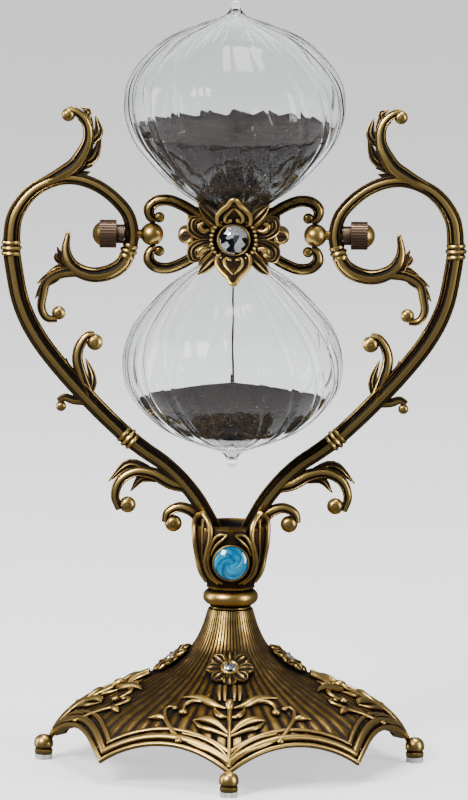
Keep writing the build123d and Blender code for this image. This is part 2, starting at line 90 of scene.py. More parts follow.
# ---- bench: small modelling helpers ------------------------------------------------------------
def deselect_all() -> None:
    """Leaves object mode clean, with nothing selected."""
    if bpy.context.object is not None and bpy.context.object.mode != "OBJECT":
        bpy.ops.object.mode_set(mode="OBJECT")
    bpy.ops.object.select_all(action="DESELECT")


def take(piece: bpy.types.Object) -> None:
    """Makes one piece the selected and active one.

    Args:
        piece: the piece to take.
    """
    deselect_all()
    piece.select_set(True)
    bpy.context.view_layer.objects.active = piece


def edit(piece: bpy.types.Object) -> None:
    """Opens one piece in edit mode with everything selected.

    Args:
        piece: the mesh to open.
    """
    take(piece)
    bpy.ops.object.mode_set(mode="EDIT")
    bpy.ops.mesh.select_mode(type="VERT")
    bpy.ops.mesh.select_all(action="SELECT")


def close_edit() -> None:
    """Goes back to object mode."""
    bpy.ops.object.mode_set(mode="OBJECT")


def named_active(name: str) -> bpy.types.Object:
    """Names the object that an operator has just added.

    Args:
        name: the piece's name.

    Returns:
        The active object.
    """
    piece = bpy.context.object
    piece.name = name
    piece.data.name = name
    return piece


def settle(piece: bpy.types.Object, smooth_deg: float = 40.0) -> bpy.types.Object:
    """Merges doubles, turns the faces outwards and shades the piece.

    Args:
        piece: the mesh to finish.
        smooth_deg: edges sharper than this stay crisp.

    Returns:
        The same piece.
    """
    edit(piece)
    bpy.ops.mesh.remove_doubles(threshold=0.00001)
    bpy.ops.mesh.normals_make_consistent(inside=False)
    close_edit()
    bpy.ops.object.shade_smooth_by_angle(angle=math.radians(smooth_deg))
    if not piece.data.materials:
        piece.data.materials.append(bpy.data.materials[CAST_FINISH])
    return piece


def carve(piece: bpy.types.Object, kind: str, **settings: object) -> None:
    """Adds a modifier and applies it at once.

    Args:
        piece: the mesh to change.
        kind: the modifier's type.
        settings: its properties.
    """
    take(piece)
    modifier = piece.modifiers.new(kind.lower(), kind)
    for key, value in settings.items():
        setattr(modifier, key, value)
    bpy.ops.object.modifier_apply(modifier=modifier.name)


def join(name: str, parts: Sequence[bpy.types.Object]) -> bpy.types.Object:
    """Joins several castings into one piece.

    Args:
        name: the piece's name.
        parts: the meshes, which are used up.

    Returns:
        The joined piece.
    """
    deselect_all()
    for part in parts:
        part.select_set(True)
    bpy.context.view_layer.objects.active = parts[0]
    if len(parts) > 1:
        bpy.ops.object.join()
    return named_active(name)


def copy_of(piece: bpy.types.Object, name: str, matrix: Matrix) -> bpy.types.Object:
    """A copy with its own mesh, moved by a matrix; a mirrored copy keeps its faces outwards.

    Args:
        piece: the piece to copy.
        name: the copy's name.
        matrix: where the copy goes.

    Returns:
        The copy.
    """
    take(piece)
    bpy.ops.object.duplicate(linked=False)
    twin = named_active(name)
    twin.data.transform(matrix)
    if matrix.determinant() < 0:
        twin.data.flip_normals()
    return twin


def stand_up() -> Matrix:
    """Turns a piece drawn flat on XY into the XZ plane, its face to the front."""
    return Matrix.Rotation(math.radians(90), 4, "X")


def flow(points: Sequence[Point2], per: int = 6) -> list[Point2]:
    """Smooth line through points.

    Args:
        points: the knots.
        per: steps between two knots.

    Returns:
        The places along the line, knots included.
    """
    knots = [Vector(p) for p in points]
    knots = [knots[0] * 2 - knots[1], *knots, knots[-1] * 2 - knots[-2]]
    places: list[Point2] = []
    for before, start, end, after in zip(knots, knots[1:], knots[2:], knots[3:]):
        for step in range(per):
            t = step / per
            place = 0.5 * (2 * start + (end - before) * t + (2 * before - 5 * start + 4 * end - after) * t ** 2
                           + (3 * start - before - 3 * end + after) * t ** 3)
            places.append((place.x, place.y))
    places.append(tuple(knots[-2]))
    return places


def along(values: Sequence[float], share: float) -> float:
    """Value at a share (0 to 1) of a list spread evenly over that range.

    Args:
        values: the list.
        share: 0 is its start and 1 is its end.

    Returns:
        The value there.
    """
    place = min(max(share, 0.0), 1.0) * (len(values) - 1)
    low = min(int(place), len(values) - 2)
    return values[low] + (values[low + 1] - values[low]) * (place - low)


# Grooves of each section: angle from the front in degrees, half width in degrees, and depth left.
# A positive angle is on the left of the bar's direction; the back repeats the front.
GROOVES: dict[Section, tuple[tuple[float, float, float], ...]] = {
    Section.FLUTED: ((22, 5, 0.72), (49, 5, 0.68), (72, 5, 0.80), (-36, 3, 0.86), (-54, 3, 0.84),
                     (-72, 5, 0.84)),
    Section.REEDED: ((27, 10, 0.68), (63, 3, 0.80), (-45, 3, 0.84), (-72, 5, 0.84)),
    Section.LEAF: ((27, 14, 0.5), (-27, 14, 0.5)),
}
PATINA = "patina"
CAST_FINISH = "antique_bronze_plated_wiped"
EYE_FLATNESS = 0.85         # thickness over width of a volute's eye


def blacken(piece: bpy.types.Object, amount: float) -> bpy.types.Object:
    """Leaves the patina on a whole part, where it was never wiped.

    Args:
        piece: the part.
        amount: 0 is wiped, 1 is black.

    Returns:
        The same part.
    """
    layer = piece.data.attributes.get(PATINA) or piece.data.attributes.new(PATINA, "FLOAT", "POINT")
    for value in layer.data:
        value.value = amount
    return piece


def smooth_curve(name: str, points: Sequence[Sequence[float]], radii: Sequence[float],
                 flat_2d: bool, closed: bool = False) -> bpy.types.Object:
    """Bezier curve through points, with radii spread evenly along it.

    Args:
        name: the piece's name.
        points: places in millimetres.
        radii: radii in millimetres.
        flat_2d: keeps the curve's frame upright on the XY plane.
        closed: joins the end to the start.

    Returns:
        The curve object.
    """
    deselect_all()
    bpy.ops.curve.primitive_bezier_curve_add()
    curve = named_active(name)
    curve.data.splines.clear()
    curve.data.dimensions = "2D" if flat_2d else "3D"
    curve.data.twist_mode = "MINIMUM"
    line = curve.data.splines.new("BEZIER")
    line.bezier_points.add(len(points) - 1)
    for index, (knot, place) in enumerate(zip(line.bezier_points, points)):
        knot.co = Vector((*place, 0.0)[:3]) * MM
        knot.handle_left_type = knot.handle_right_type = "AUTO"
        share = index / (len(points) - 1) * (len(radii) - 1)
        low = min(int(share), len(radii) - 2)
        knot.radius = radii[low] + (radii[low + 1] - radii[low]) * (share - low)
    line.use_cyclic_u = closed
    line.radius_interpolation = "EASE" if closed else "CARDINAL"
    return curve


def to_mesh(curve: bpy.types.Object) -> bpy.types.Object:
    """Turns a curve into a mesh, with its name kept.

    Args:
        curve: the curve object.

    Returns:
        The same object, now a mesh.
    """
    take(curve)
    bpy.ops.object.convert(target="MESH")
    return curve


def sweep(name: str, line: Sequence[Point2], radii: Sequence[float], section: Section,
          flat: float = 1.0, per: int = 6, hand: int = 1, sides: int = 40) -> bpy.types.Object:
    """Bar drawn flat on XY: a grooved disc extruded, turned and resized from place to place.

    Args:
        name: the piece's name.
        line: knots in millimetres.
        radii: half widths in millimetres, spread evenly along the line.
        section: the cross-section.
        flat: thickness over width.
        per: steps between two knots.
        hand: 1, or -1 to swap the left and right grooves.
        sides: corners of the disc.

    Returns:
        The bar, closed at both ends.
    """
    places = flow(line, per)
    ahead = [Vector(b) - Vector(a) for a, b in zip(places, places[1:])]
    heads = [math.atan2(v.y, v.x) for v in ahead]
    heads = [heads[0], *((math.atan2((a + b).y, (a + b).x)) for a, b in zip(ahead, ahead[1:])), heads[-1]]
    widths = [along(radii, index / (len(places) - 1)) for index in range(len(places))]
    deselect_all()
    centre = Vector((*places[0], 0)) * MM
    bpy.ops.mesh.primitive_circle_add(vertices=sides, radius=widths[0] * MM, fill_type="NGON",
                                      location=tuple(centre),
                                      rotation=(math.pi / 2, 0, heads[0] + math.pi / 2))
    bar = named_active(name)
    apply_place(bar)
    edit(bar)
    left = Vector((-math.sin(heads[0]), math.cos(heads[0]), 0))
    for angle, half, depth in GROOVES[section]:
        select_ring(bar, centre, left, angle * hand, half)
        value = (1, 1, depth) if section is Section.LEAF else (depth, depth, depth)
        bpy.ops.transform.resize(value=value, center_override=tuple(centre))
    bpy.ops.mesh.select_all(action="SELECT")
    if flat != 1.0:
        bpy.ops.transform.resize(value=(1, 1, flat), center_override=tuple(centre))
    for index in range(1, len(places)):
        step = Vector((places[index][0] - places[index - 1][0], places[index][1] - places[index - 1][1],
                       0)) * MM
        centre = Vector((*places[index], 0)) * MM
        bpy.ops.mesh.extrude_region_move(TRANSFORM_OT_translate={"value": tuple(step)})
        turn = math.remainder(heads[index] - heads[index - 1], TURN)
        if abs(turn) > 1e-5:
            bpy.ops.transform.rotate(value=-turn, orient_axis="Z", center_override=tuple(centre))
        grow = widths[index] / widths[index - 1]
        bpy.ops.transform.resize(value=(grow, grow, grow), center_override=tuple(centre))
    close_edit()
    return settle(bar, 38.0)


def select_ring(bar: bpy.types.Object, centre: Vector, left: Vector, angle: float, half: float) -> None:
    """In edit mode, selects and blackens the disc's corners near an angle from the front, and at the back.

    Args:
        bar: the disc being edited.
        centre: its middle.
        left: unit vector to its left.
        angle: degrees from the front, positive to the left.
        half: half width of the groove in degrees.
    """
    bpy.ops.mesh.select_mode(type="VERT")
    bpy.ops.mesh.select_all(action="DESELECT")
    mesh = bmesh.from_edit_mesh(bar.data)
    patina = mesh.verts.layers.float.get(PATINA) or mesh.verts.layers.float.new(PATINA)
    for corner in mesh.verts:
        away = corner.co - centre
        place = math.degrees(math.atan2(away.dot(left), abs(away.z)))
        corner.select_set(abs(place - angle) <= half)
        if corner.select:
            corner[patina] = 1.0
    mesh.select_flush_mode()
    bmesh.update_edit_mesh(bar.data)


def strand(name: str, line: Sequence[Point3], radii: Sequence[float], closed: bool = False,
           smoothness: int = 5) -> bpy.types.Object:
    """Round wire through points in space.

    Args:
        name: the piece's name.
        line: points in millimetres.
        radii: radii in millimetres.
        closed: joins the end to the start.
        smoothness: segments between two points.

    Returns:
        The wire as a mesh.
    """
    curve = smooth_curve(name, line, radii, flat_2d=False, closed=closed)
    curve.data.bevel_depth = MM
    curve.data.bevel_resolution = 3
    curve.data.use_fill_caps = True
    curve.data.resolution_u = smoothness
    return settle(to_mesh(curve), 50.0)


def plate(name: str, outline: Sequence[Point2], thickness: float) -> bpy.types.Object:
    """Flat plate on XY inside a smooth closed outline, its top at half its thickness.

    Args:
        name: the piece's name.
        outline: points in millimetres.
        thickness: in millimetres.

    Returns:
        The plate as a mesh.
    """
    curve = smooth_curve(name, outline, [1.0, 1.0], flat_2d=True, closed=True)
    curve.data.fill_mode = "BOTH"
    curve.data.extrude = thickness / 2 * MM
    curve.data.bevel_depth = 0.12 * MM
    curve.data.resolution_u = 6
    return settle(to_mesh(curve), 30.0)


def button(name: str, x: float, y: float, radius: float) -> bpy.types.Object:
    """Volute eye on XY: a ball, slightly flattened, with a ring pressed into each face.

    Args:
        name: the piece's name.
        x: place in millimetres.
        y: place in millimetres.
        radius: in millimetres.

    Returns:
        The button as a mesh.
    """
    deselect_all()
    bpy.ops.mesh.primitive_uv_sphere_add(segments=24, ring_count=14, radius=radius * MM,
                                         location=(x * MM, y * MM, 0))
    ball = named_active(name)
    apply_place(ball)
    centre = Vector((x, y, 0)) * MM
    for side in (1, -1):
        edit(ball)
        select_faces(ball, lambda face,
                     s=side: s * (face.calc_center_median() - centre).z > 0.86 * radius * MM)
        bpy.ops.mesh.inset(thickness=0.12 * radius * MM, depth=-0.06 * radius * MM)
        close_edit()
    edit(ball)
    bpy.ops.transform.resize(value=(1, 1, EYE_FLATNESS), center_override=tuple(centre))
    close_edit()
    return settle(ball, 60.0)


def apply_place(piece: bpy.types.Object) -> None:
    """Puts a piece's place, turn and scale into its mesh."""
    take(piece)
    bpy.ops.object.transform_apply(location=True, rotation=True, scale=True)


def select_faces(piece: bpy.types.Object, test: Callable[[bmesh.types.BMFace], bool]) -> None:
    """In edit mode, selects the faces that pass a test.

    Args:
        piece: the mesh being edited.
        test: whether a face is wanted.
    """
    bpy.ops.mesh.select_mode(type="FACE")
    bpy.ops.mesh.select_all(action="DESELECT")
    mesh = bmesh.from_edit_mesh(piece.data)
    for face in [face for face in mesh.faces if test(face)]:
        face.select_set(True)
    bmesh.update_edit_mesh(piece.data)


def lathe(name: str, outline: Sequence[Point2], steps: int = 64,
          smooth_deg: float = 35.0) -> bpy.types.Object:
    """Turned piece: an outline of radius and height, extruded point by point and spun round Z.

    Args:
        name: the piece's name.
        outline: radius and height in millimetres, from the bottom to the top.
        steps: faces round the axis.
        smooth_deg: edges sharper than this stay crisp.

    Returns:
        The turned piece.
    """
    deselect_all()
    start = Vector((outline[0][0], 0, outline[0][1])) * MM
    bpy.ops.mesh.primitive_plane_add(size=MM, location=tuple(start))
    piece = named_active(name)
    apply_place(piece)
    edit(piece)
    bpy.ops.mesh.merge(type="CENTER")
    for (r0, z0), (r1, z1) in zip(outline, outline[1:]):
        step = Vector((r1 - r0, 0, z1 - z0)) * MM
        bpy.ops.mesh.extrude_region_move(TRANSFORM_OT_translate={"value": tuple(step)})
    bpy.ops.mesh.select_all(action="SELECT")
    bpy.ops.mesh.spin(steps=steps, angle=TURN, center=(0, 0, 0), axis=(0, 0, 1))
    close_edit()
    return settle(piece, smooth_deg)


def aim(piece: bpy.types.Object, matrix: Matrix) -> bpy.types.Object:
    """Moves a piece's mesh by a matrix and hands it back.

    Args:
        piece: the piece to move.
        matrix: where it goes.

    Returns:
        The same piece.
    """
    piece.data.transform(matrix)
    if matrix.determinant() < 0:
        piece.data.flip_normals()
    return piece


def to_front(x: float, y: float, z: float) -> Matrix:
    """Turns +Z to -Y and moves to a place in millimetres."""
    return Matrix.Translation(Vector((x, y, z)) * MM) @ Matrix.Rotation(math.radians(90), 4, "X")


BACK = Matrix.Rotation(math.pi, 4, "Z")
MIRROR = Matrix.Scale(-1, 4, (1, 0, 0))


# ---- finishes ------------------------------------------------------------------------------------
def linear(colour: str) -> tuple[float, float, float, float]:
    """Linear RGBA of an sRGB hex colour.

    Args:
        colour: six hex digits.

    Returns:
        The colour as Blender's sockets want it.
    """
    values = [int(colour[i:i + 2], 16) / 255 for i in (0, 2, 4)]
    red, green, blue = (v / 12.92 if v <= 0.04045 else ((v + 0.055) / 1.055) ** 2.4 for v in values)
    return (red, green, blue, 1.0)


def add_node(tree: bpy.types.NodeTree, kind: str, links: dict[str, object] | None = None,
             stops: Sequence[tuple[float, str]] = (), **settings: object) -> bpy.types.Node:
    """Adds a node, sets its properties and sockets, and links what is given as an output.

    Args:
        tree: the material's node tree.
        kind: the node's type name.
        links: socket name or number to a value or to another node's output.
        stops: a ramp's places and sRGB hex colours, in order.
        settings: node properties.

    Returns:
        The node.
    """
    node = tree.nodes.new(kind)
    for key, value in settings.items():
        setattr(node, key, value)
    for key, value in (links or {}).items():
        socket = node.inputs[key]
        if isinstance(value, bpy.types.NodeSocket):
            tree.links.new(value, socket)
        else:
            socket.default_value = value
    if stops:
        elements = node.color_ramp.elements
        while len(elements) < len(stops):
            elements.new(0.5)
        for element, (place, colour) in zip(elements, stops):
            element.position, element.color = place, linear(colour)
    return node


def new_material(name: str) -> tuple[bpy.types.Material, bpy.types.NodeTree, bpy.types.Node]:
    """Empty node material.

    Args:
        name: the material's name.

    Returns:
        The material, its tree and its Principled shader.
    """
    material = bpy.data.materials.new(name)
    material.use_nodes = True
    tree = material.node_tree
    return material, tree, tree.nodes["Principled BSDF"]


@dataclass(frozen=True)
class AntiqueBronze:
    """Die-cast zinc, plated in bronze, blackened and wiped back.

    The high spots are wiped to pale gold, the flats stay mid bronze and the patina stays in the recesses;
    ambient occlusion also paints shade into gaps, undersides and back sides.
    """

    name: str = CAST_FINISH
    # The two dark stops take the patina and the painted shade of the ambient occlusion.
    recess: str = "0D0806"
    shade: str = "3A2614"
    flat: str = "80602A"
    high: str = "DDB86C"
    roughness: float = 0.34
    patina_and_shade_mm: float = 3.4
    mottle_mm: float = 5.0

    def material(self) -> bpy.types.Material:
        """Builds the node material."""
        material, tree, shader = new_material(self.name)
        place = add_node(tree, "ShaderNodeTexCoord").outputs["Object"]
        # Ambient occlusion: patina in the recesses, and painted shade in gaps, undersides and back sides.
        hollow = add_node(tree, "ShaderNodeAmbientOcclusion", {"Distance": self.patina_and_shade_mm * MM}, samples=6)
        edge = add_node(tree, "ShaderNodeNewGeometry").outputs["Pointiness"]
        mottle = add_node(tree, "ShaderNodeTexNoise",
                          {"Vector": place, "Scale": 1 / (self.mottle_mm * MM), "Detail": 5.0,
                           "Roughness": 0.6})
        patina_and_painted_shade = add_node(tree, "ShaderNodeMath", {0: hollow.outputs["AO"], 1: 2.0}, operation="POWER")
        lift = add_node(tree, "ShaderNodeMapRange", {"Value": edge, "From Min": 0.45, "From Max": 0.56,
                                                     "To Min": -0.40, "To Max": 0.34})
        stain = add_node(tree, "ShaderNodeMapRange", {"Value": mottle.outputs["Fac"], "From Min": 0.3,
                                                      "From Max": 0.7, "To Min": -0.10, "To Max": 0.08})
        # The wiped value sums the occlusion (patina and painted shade), the edge wear and the stains; the
        # patina layer is added below.
        wiped = add_node(tree, "ShaderNodeMath", {0: patina_and_painted_shade.outputs[0], 1: lift.outputs[0]},
                         operation="ADD")
        wiped = add_node(tree, "ShaderNodeMath", {0: wiped.outputs[0], 1: stain.outputs[0]},
                         operation="ADD")
        kept = add_node(tree, "ShaderNodeAttribute", attribute_name=PATINA)
        kept = add_node(tree, "ShaderNodeMath", {0: kept.outputs["Fac"], 1: -0.62}, operation="MULTIPLY")
        wiped = add_node(tree, "ShaderNodeMath", {0: wiped.outputs[0], 1: kept.outputs[0]}, operation="ADD")
        colour = add_node(tree, "ShaderNodeValToRGB", {0: wiped.outputs[0]},
                          [(0.22, self.recess), (0.50, self.shade), (0.80, self.flat), (1.0, self.high)])
        tree.links.new(colour.outputs["Color"], shader.inputs["Base Color"])
        metal = add_node(tree, "ShaderNodeMapRange", {"Value": wiped.outputs[0], "From Min": 0.2,
                                                      "From Max": 0.55, "To Min": 0.55, "To Max": 1.0})
        tree.links.new(metal.outputs[0], shader.inputs["Metallic"])
        rough = add_node(tree, "ShaderNodeMapRange", {"Value": wiped.outputs[0], "From Min": 0.3,
                                                      "From Max": 0.95, "To Min": self.roughness + 0.25,
                                                      "To Max": self.roughness})
        tree.links.new(rough.outputs[0], shader.inputs["Roughness"])
        grain = add_node(tree, "ShaderNodeTexNoise",
                         {"Vector": place, "Scale": 1 / (0.5 * MM), "Detail": 3.0})
        bump = add_node(tree, "ShaderNodeBump", {"Height": grain.outputs["Fac"], "Strength": 0.12,
                                                 "Distance": 0.08 * MM})
        tree.links.new(bump.outputs[0], shader.inputs["Normal"])
        return material


@dataclass(frozen=True)
class BlownGlass:
    """Soda-lime glass, mould-ribbed and blown: clear, with the faint cool tint of thick edges."""

    name: str = "soda_lime_glass_blown"
    tint: str = "FBFDFD"

    def material(self) -> bpy.types.Material:
        """Builds the node material."""
        material, tree, shader = new_material(self.name)
        shader.inputs["Base Color"].default_value = linear(self.tint)
        shader.inputs["Roughness"].default_value = 0.0
        # Real soda-lime glass has 1.52. Lowered, because its reflections wash out the black sand.
        shader.inputs["IOR"].default_value = 1.24
        shader.inputs["Transmission Weight"].default_value = 1.0
        place = add_node(tree, "ShaderNodeTexCoord").outputs["Object"]
        wave = add_node(tree, "ShaderNodeTexNoise",
                        {"Vector": place, "Scale": 1 / (22 * MM), "Detail": 0.0})
        bump = add_node(tree, "ShaderNodeBump", {"Height": wave.outputs["Fac"], "Strength": 0.08,
                                                 "Distance": 0.6 * MM})
        tree.links.new(bump.outputs[0], shader.inputs["Normal"])
        light = add_node(tree, "ShaderNodeLightPath")
        clear = add_node(tree, "ShaderNodeBsdfTransparent", {"Color": (0.96, 0.97, 0.97, 1)})
        mix = add_node(tree, "ShaderNodeMixShader", {0: light.outputs["Is Shadow Ray"],
                                                     1: shader.outputs[0], 2: clear.outputs[0]})
        tree.links.new(mix.outputs[0], tree.nodes["Material Output"].inputs["Surface"])
        return material


@dataclass(frozen=True)
class BlackSand:
    """Dyed quartz sand with mica flakes: near-black grains, with the flakes' glints painted on as bright
    specks.
    """

    name: str = "dyed_quartz_sand_poured"
    dark: str = "0A0909"
    pale: str = "2C2828"
    sheen: str = "4A4442"
    mica_glint: str = "E4E0DC"
    grain_mm: float = 0.45

    def material(self) -> bpy.types.Material:
        """Builds the node material."""
        material, tree, shader = new_material(self.name)
        place = add_node(tree, "ShaderNodeTexCoord").outputs["Object"]
        grain = add_node(tree, "ShaderNodeTexVoronoi", {"Vector": place, "Scale": 1 / (self.grain_mm * MM)})
        # The palest stops paint sheen and the glints of the mica flakes onto a few random grains.
        tone = add_node(tree, "ShaderNodeValToRGB", {0: grain.outputs["Color"]},
                        [(0.15, self.dark), (0.62, self.pale), (0.95, self.sheen), (0.985, self.mica_glint)])
        tree.links.new(tone.outputs["Color"], shader.inputs["Base Color"])
        shader.inputs["Roughness"].default_value = 0.85
        shader.inputs["Specular IOR Level"].default_value = 0.0
        bump = add_node(tree, "ShaderNodeBump", {"Height": grain.outputs["Distance"], "Strength": 0.9,
                                                 "Distance": 0.4 * MM})
        tree.links.new(bump.outputs[0], shader.inputs["Normal"])
        return material


@dataclass(frozen=True)
class CutCrystal:
    """Machine-cut crystal with a foil back, which throws most of the light back; its facets' reflections are
    painted as dark and white cells.
    """

    name: str = "cut_crystal_foiled"

    def material(self) -> bpy.types.Material:
        """Builds the node material."""
        material, tree, shader = new_material(self.name)
        place = add_node(tree, "ShaderNodeTexCoord").outputs["Object"]
        # Painted reflections: dark and white cells stand in for what the facets mirror.
        painted_facet_reflections = add_node(tree, "ShaderNodeTexVoronoi", {"Vector": place, "Scale": 1 / (2.2 * MM)})
        tone = add_node(tree, "ShaderNodeValToRGB", {0: painted_facet_reflections.outputs["Color"]},
                        [(0.32, "16181C"), (0.46, "C4C7CE"), (1.0, "FFFFFF")])
        tree.links.new(tone.outputs["Color"], shader.inputs["Base Color"])
        shader.inputs["Metallic"].default_value = 0.75
        shader.inputs["Roughness"].default_value = 0.05
        shader.inputs["Coat Weight"].default_value = 1.0
        shader.inputs["Coat Roughness"].default_value = 0.02
        return material


@dataclass(frozen=True)
class SwirledCabochon:
    """Cast glass cabochon with white streaks swirled into blue-green, fire-polished."""

    name: str = "swirled_glass_cast_polished"
    deep: str = "062C5C"
    body: str = "0B6C93"
    clear: str = "1487A8"
    streak: str = "8FDDE8"

    def material(self) -> bpy.types.Material:
        """Builds the node material."""
        material, tree, shader = new_material(self.name)
        place = add_node(tree, "ShaderNodeTexCoord").outputs["Object"]
        centre = add_node(tree, "ShaderNodeMapping", {"Vector": place, "Location": (0, 0, -72.4 * MM)})
        radial = add_node(tree, "ShaderNodeVectorMath", {0: centre.outputs[0], 1: (1, 0, 1)},
                          operation="MULTIPLY")
        reach = add_node(tree, "ShaderNodeVectorMath", {0: radial.outputs[0]}, operation="LENGTH")
        twist = add_node(tree, "ShaderNodeMath", {0: reach.outputs["Value"], 1: 520.0},
                         operation="MULTIPLY")
        curl = add_node(tree, "ShaderNodeVectorRotate", {"Vector": radial.outputs[0], "Axis": (0, 1, 0),
                                                         "Angle": twist.outputs[0]})
        streaks = add_node(tree, "ShaderNodeTexNoise", {"Vector": curl.outputs[0], "Scale": 1 / (3.4 * MM),
                                                        "Detail": 4.0, "Roughness": 0.65,
                                                        "Distortion": 0.8})
        tone = add_node(tree, "ShaderNodeValToRGB", {0: streaks.outputs["Fac"]},
                        [(0.36, self.deep), (0.52, self.body), (0.64, self.clear), (0.80, self.streak)])
        tree.links.new(tone.outputs["Color"], shader.inputs["Base Color"])
        shader.inputs["Roughness"].default_value = 0.12
        shader.inputs["Coat Weight"].default_value = 1.0
        shader.inputs["Coat Roughness"].default_value = 0.03
        return material


@dataclass(frozen=True)
class PlainStuff:
    """A quiet finish for small plain parts, mottled so that it isn't one flat colour."""

    name: str
    low: str
    high: str
    roughness: float
    metallic: float = 0.0
    grain_mm: float = 1.5
    transmission: float = 0.0

    def material(self) -> bpy.types.Material:
        """Builds the node material."""
        material, tree, shader = new_material(self.name)
        place = add_node(tree, "ShaderNodeTexCoord").outputs["Object"]
        mottle = add_node(tree, "ShaderNodeTexNoise", {"Vector": place, "Scale": 1 / (self.grain_mm * MM),
                                                       "Detail": 4.0})
        tone = add_node(tree, "ShaderNodeValToRGB", {0: mottle.outputs["Fac"]},
                        [(0.35, self.low), (0.65, self.high)])
        tree.links.new(tone.outputs["Color"], shader.inputs["Base Color"])
        shader.inputs["Roughness"].default_value = self.roughness
        shader.inputs["Metallic"].default_value = self.metallic
        shader.inputs["Transmission Weight"].default_value = self.transmission
        bump = add_node(tree, "ShaderNodeBump", {"Height": mottle.outputs["Fac"], "Strength": 0.2,
                                                 "Distance": 0.05 * MM})
        tree.links.new(bump.outputs[0], shader.inputs["Normal"])
        return material


@dataclass
class FinishRack:
    """Every finish, made once."""

    bronze: bpy.types.Material = field(init=False)
    dark_bronze: bpy.types.Material = field(init=False)
    glass: bpy.types.Material = field(init=False)
    sand: bpy.types.Material = field(init=False)
    crystal: bpy.types.Material = field(init=False)
    cabochon: bpy.types.Material = field(init=False)
    rubber: bpy.types.Material = field(init=False)
    steel: bpy.types.Material = field(init=False)

    def __post_init__(self) -> None:
        """Builds the materials."""
        self.bronze = AntiqueBronze().material()
        self.dark_bronze = AntiqueBronze(name="dark_bronze_plated_knurled", recess="1A100B", shade="3E2C22",
                                         flat="5A4336", high="8A7260", roughness=0.42).material()
        self.glass = BlownGlass().material()
        self.sand = BlackSand().material()
        self.crystal = CutCrystal().material()
        self.cabochon = SwirledCabochon().material()
        self.rubber = PlainStuff("silicone_rubber_moulded", "8E8F8C", "B9BAB6", 0.55).material()
        self.steel = PlainStuff("zinc_plated_steel_turned", "8A8B8C", "B4B5B5", 0.35,
                                metallic=1.0).material()


def dress(piece: bpy.types.Object, material: bpy.types.Material, slot: str, body: str,
          *nodes: str) -> bpy.types.Object:
    """Gives a piece its finish and its body, and hides the CAD nodes that it stands for.

    Args:
        piece: the finished mesh.
        material: its finish.
        slot: the record's material slot; not used.
        body: the body that it moves with.
        nodes: CAD nodes that it replaces.

    Returns:
        The same piece.
    """
    piece.data.materials.clear()
    piece.data.materials.append(material)
    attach(piece, body)
    if nodes:
        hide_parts(*nodes)
    LOG.info("%s: %d faces on %s", piece.name, len(piece.data.polygons), body)
    return piece


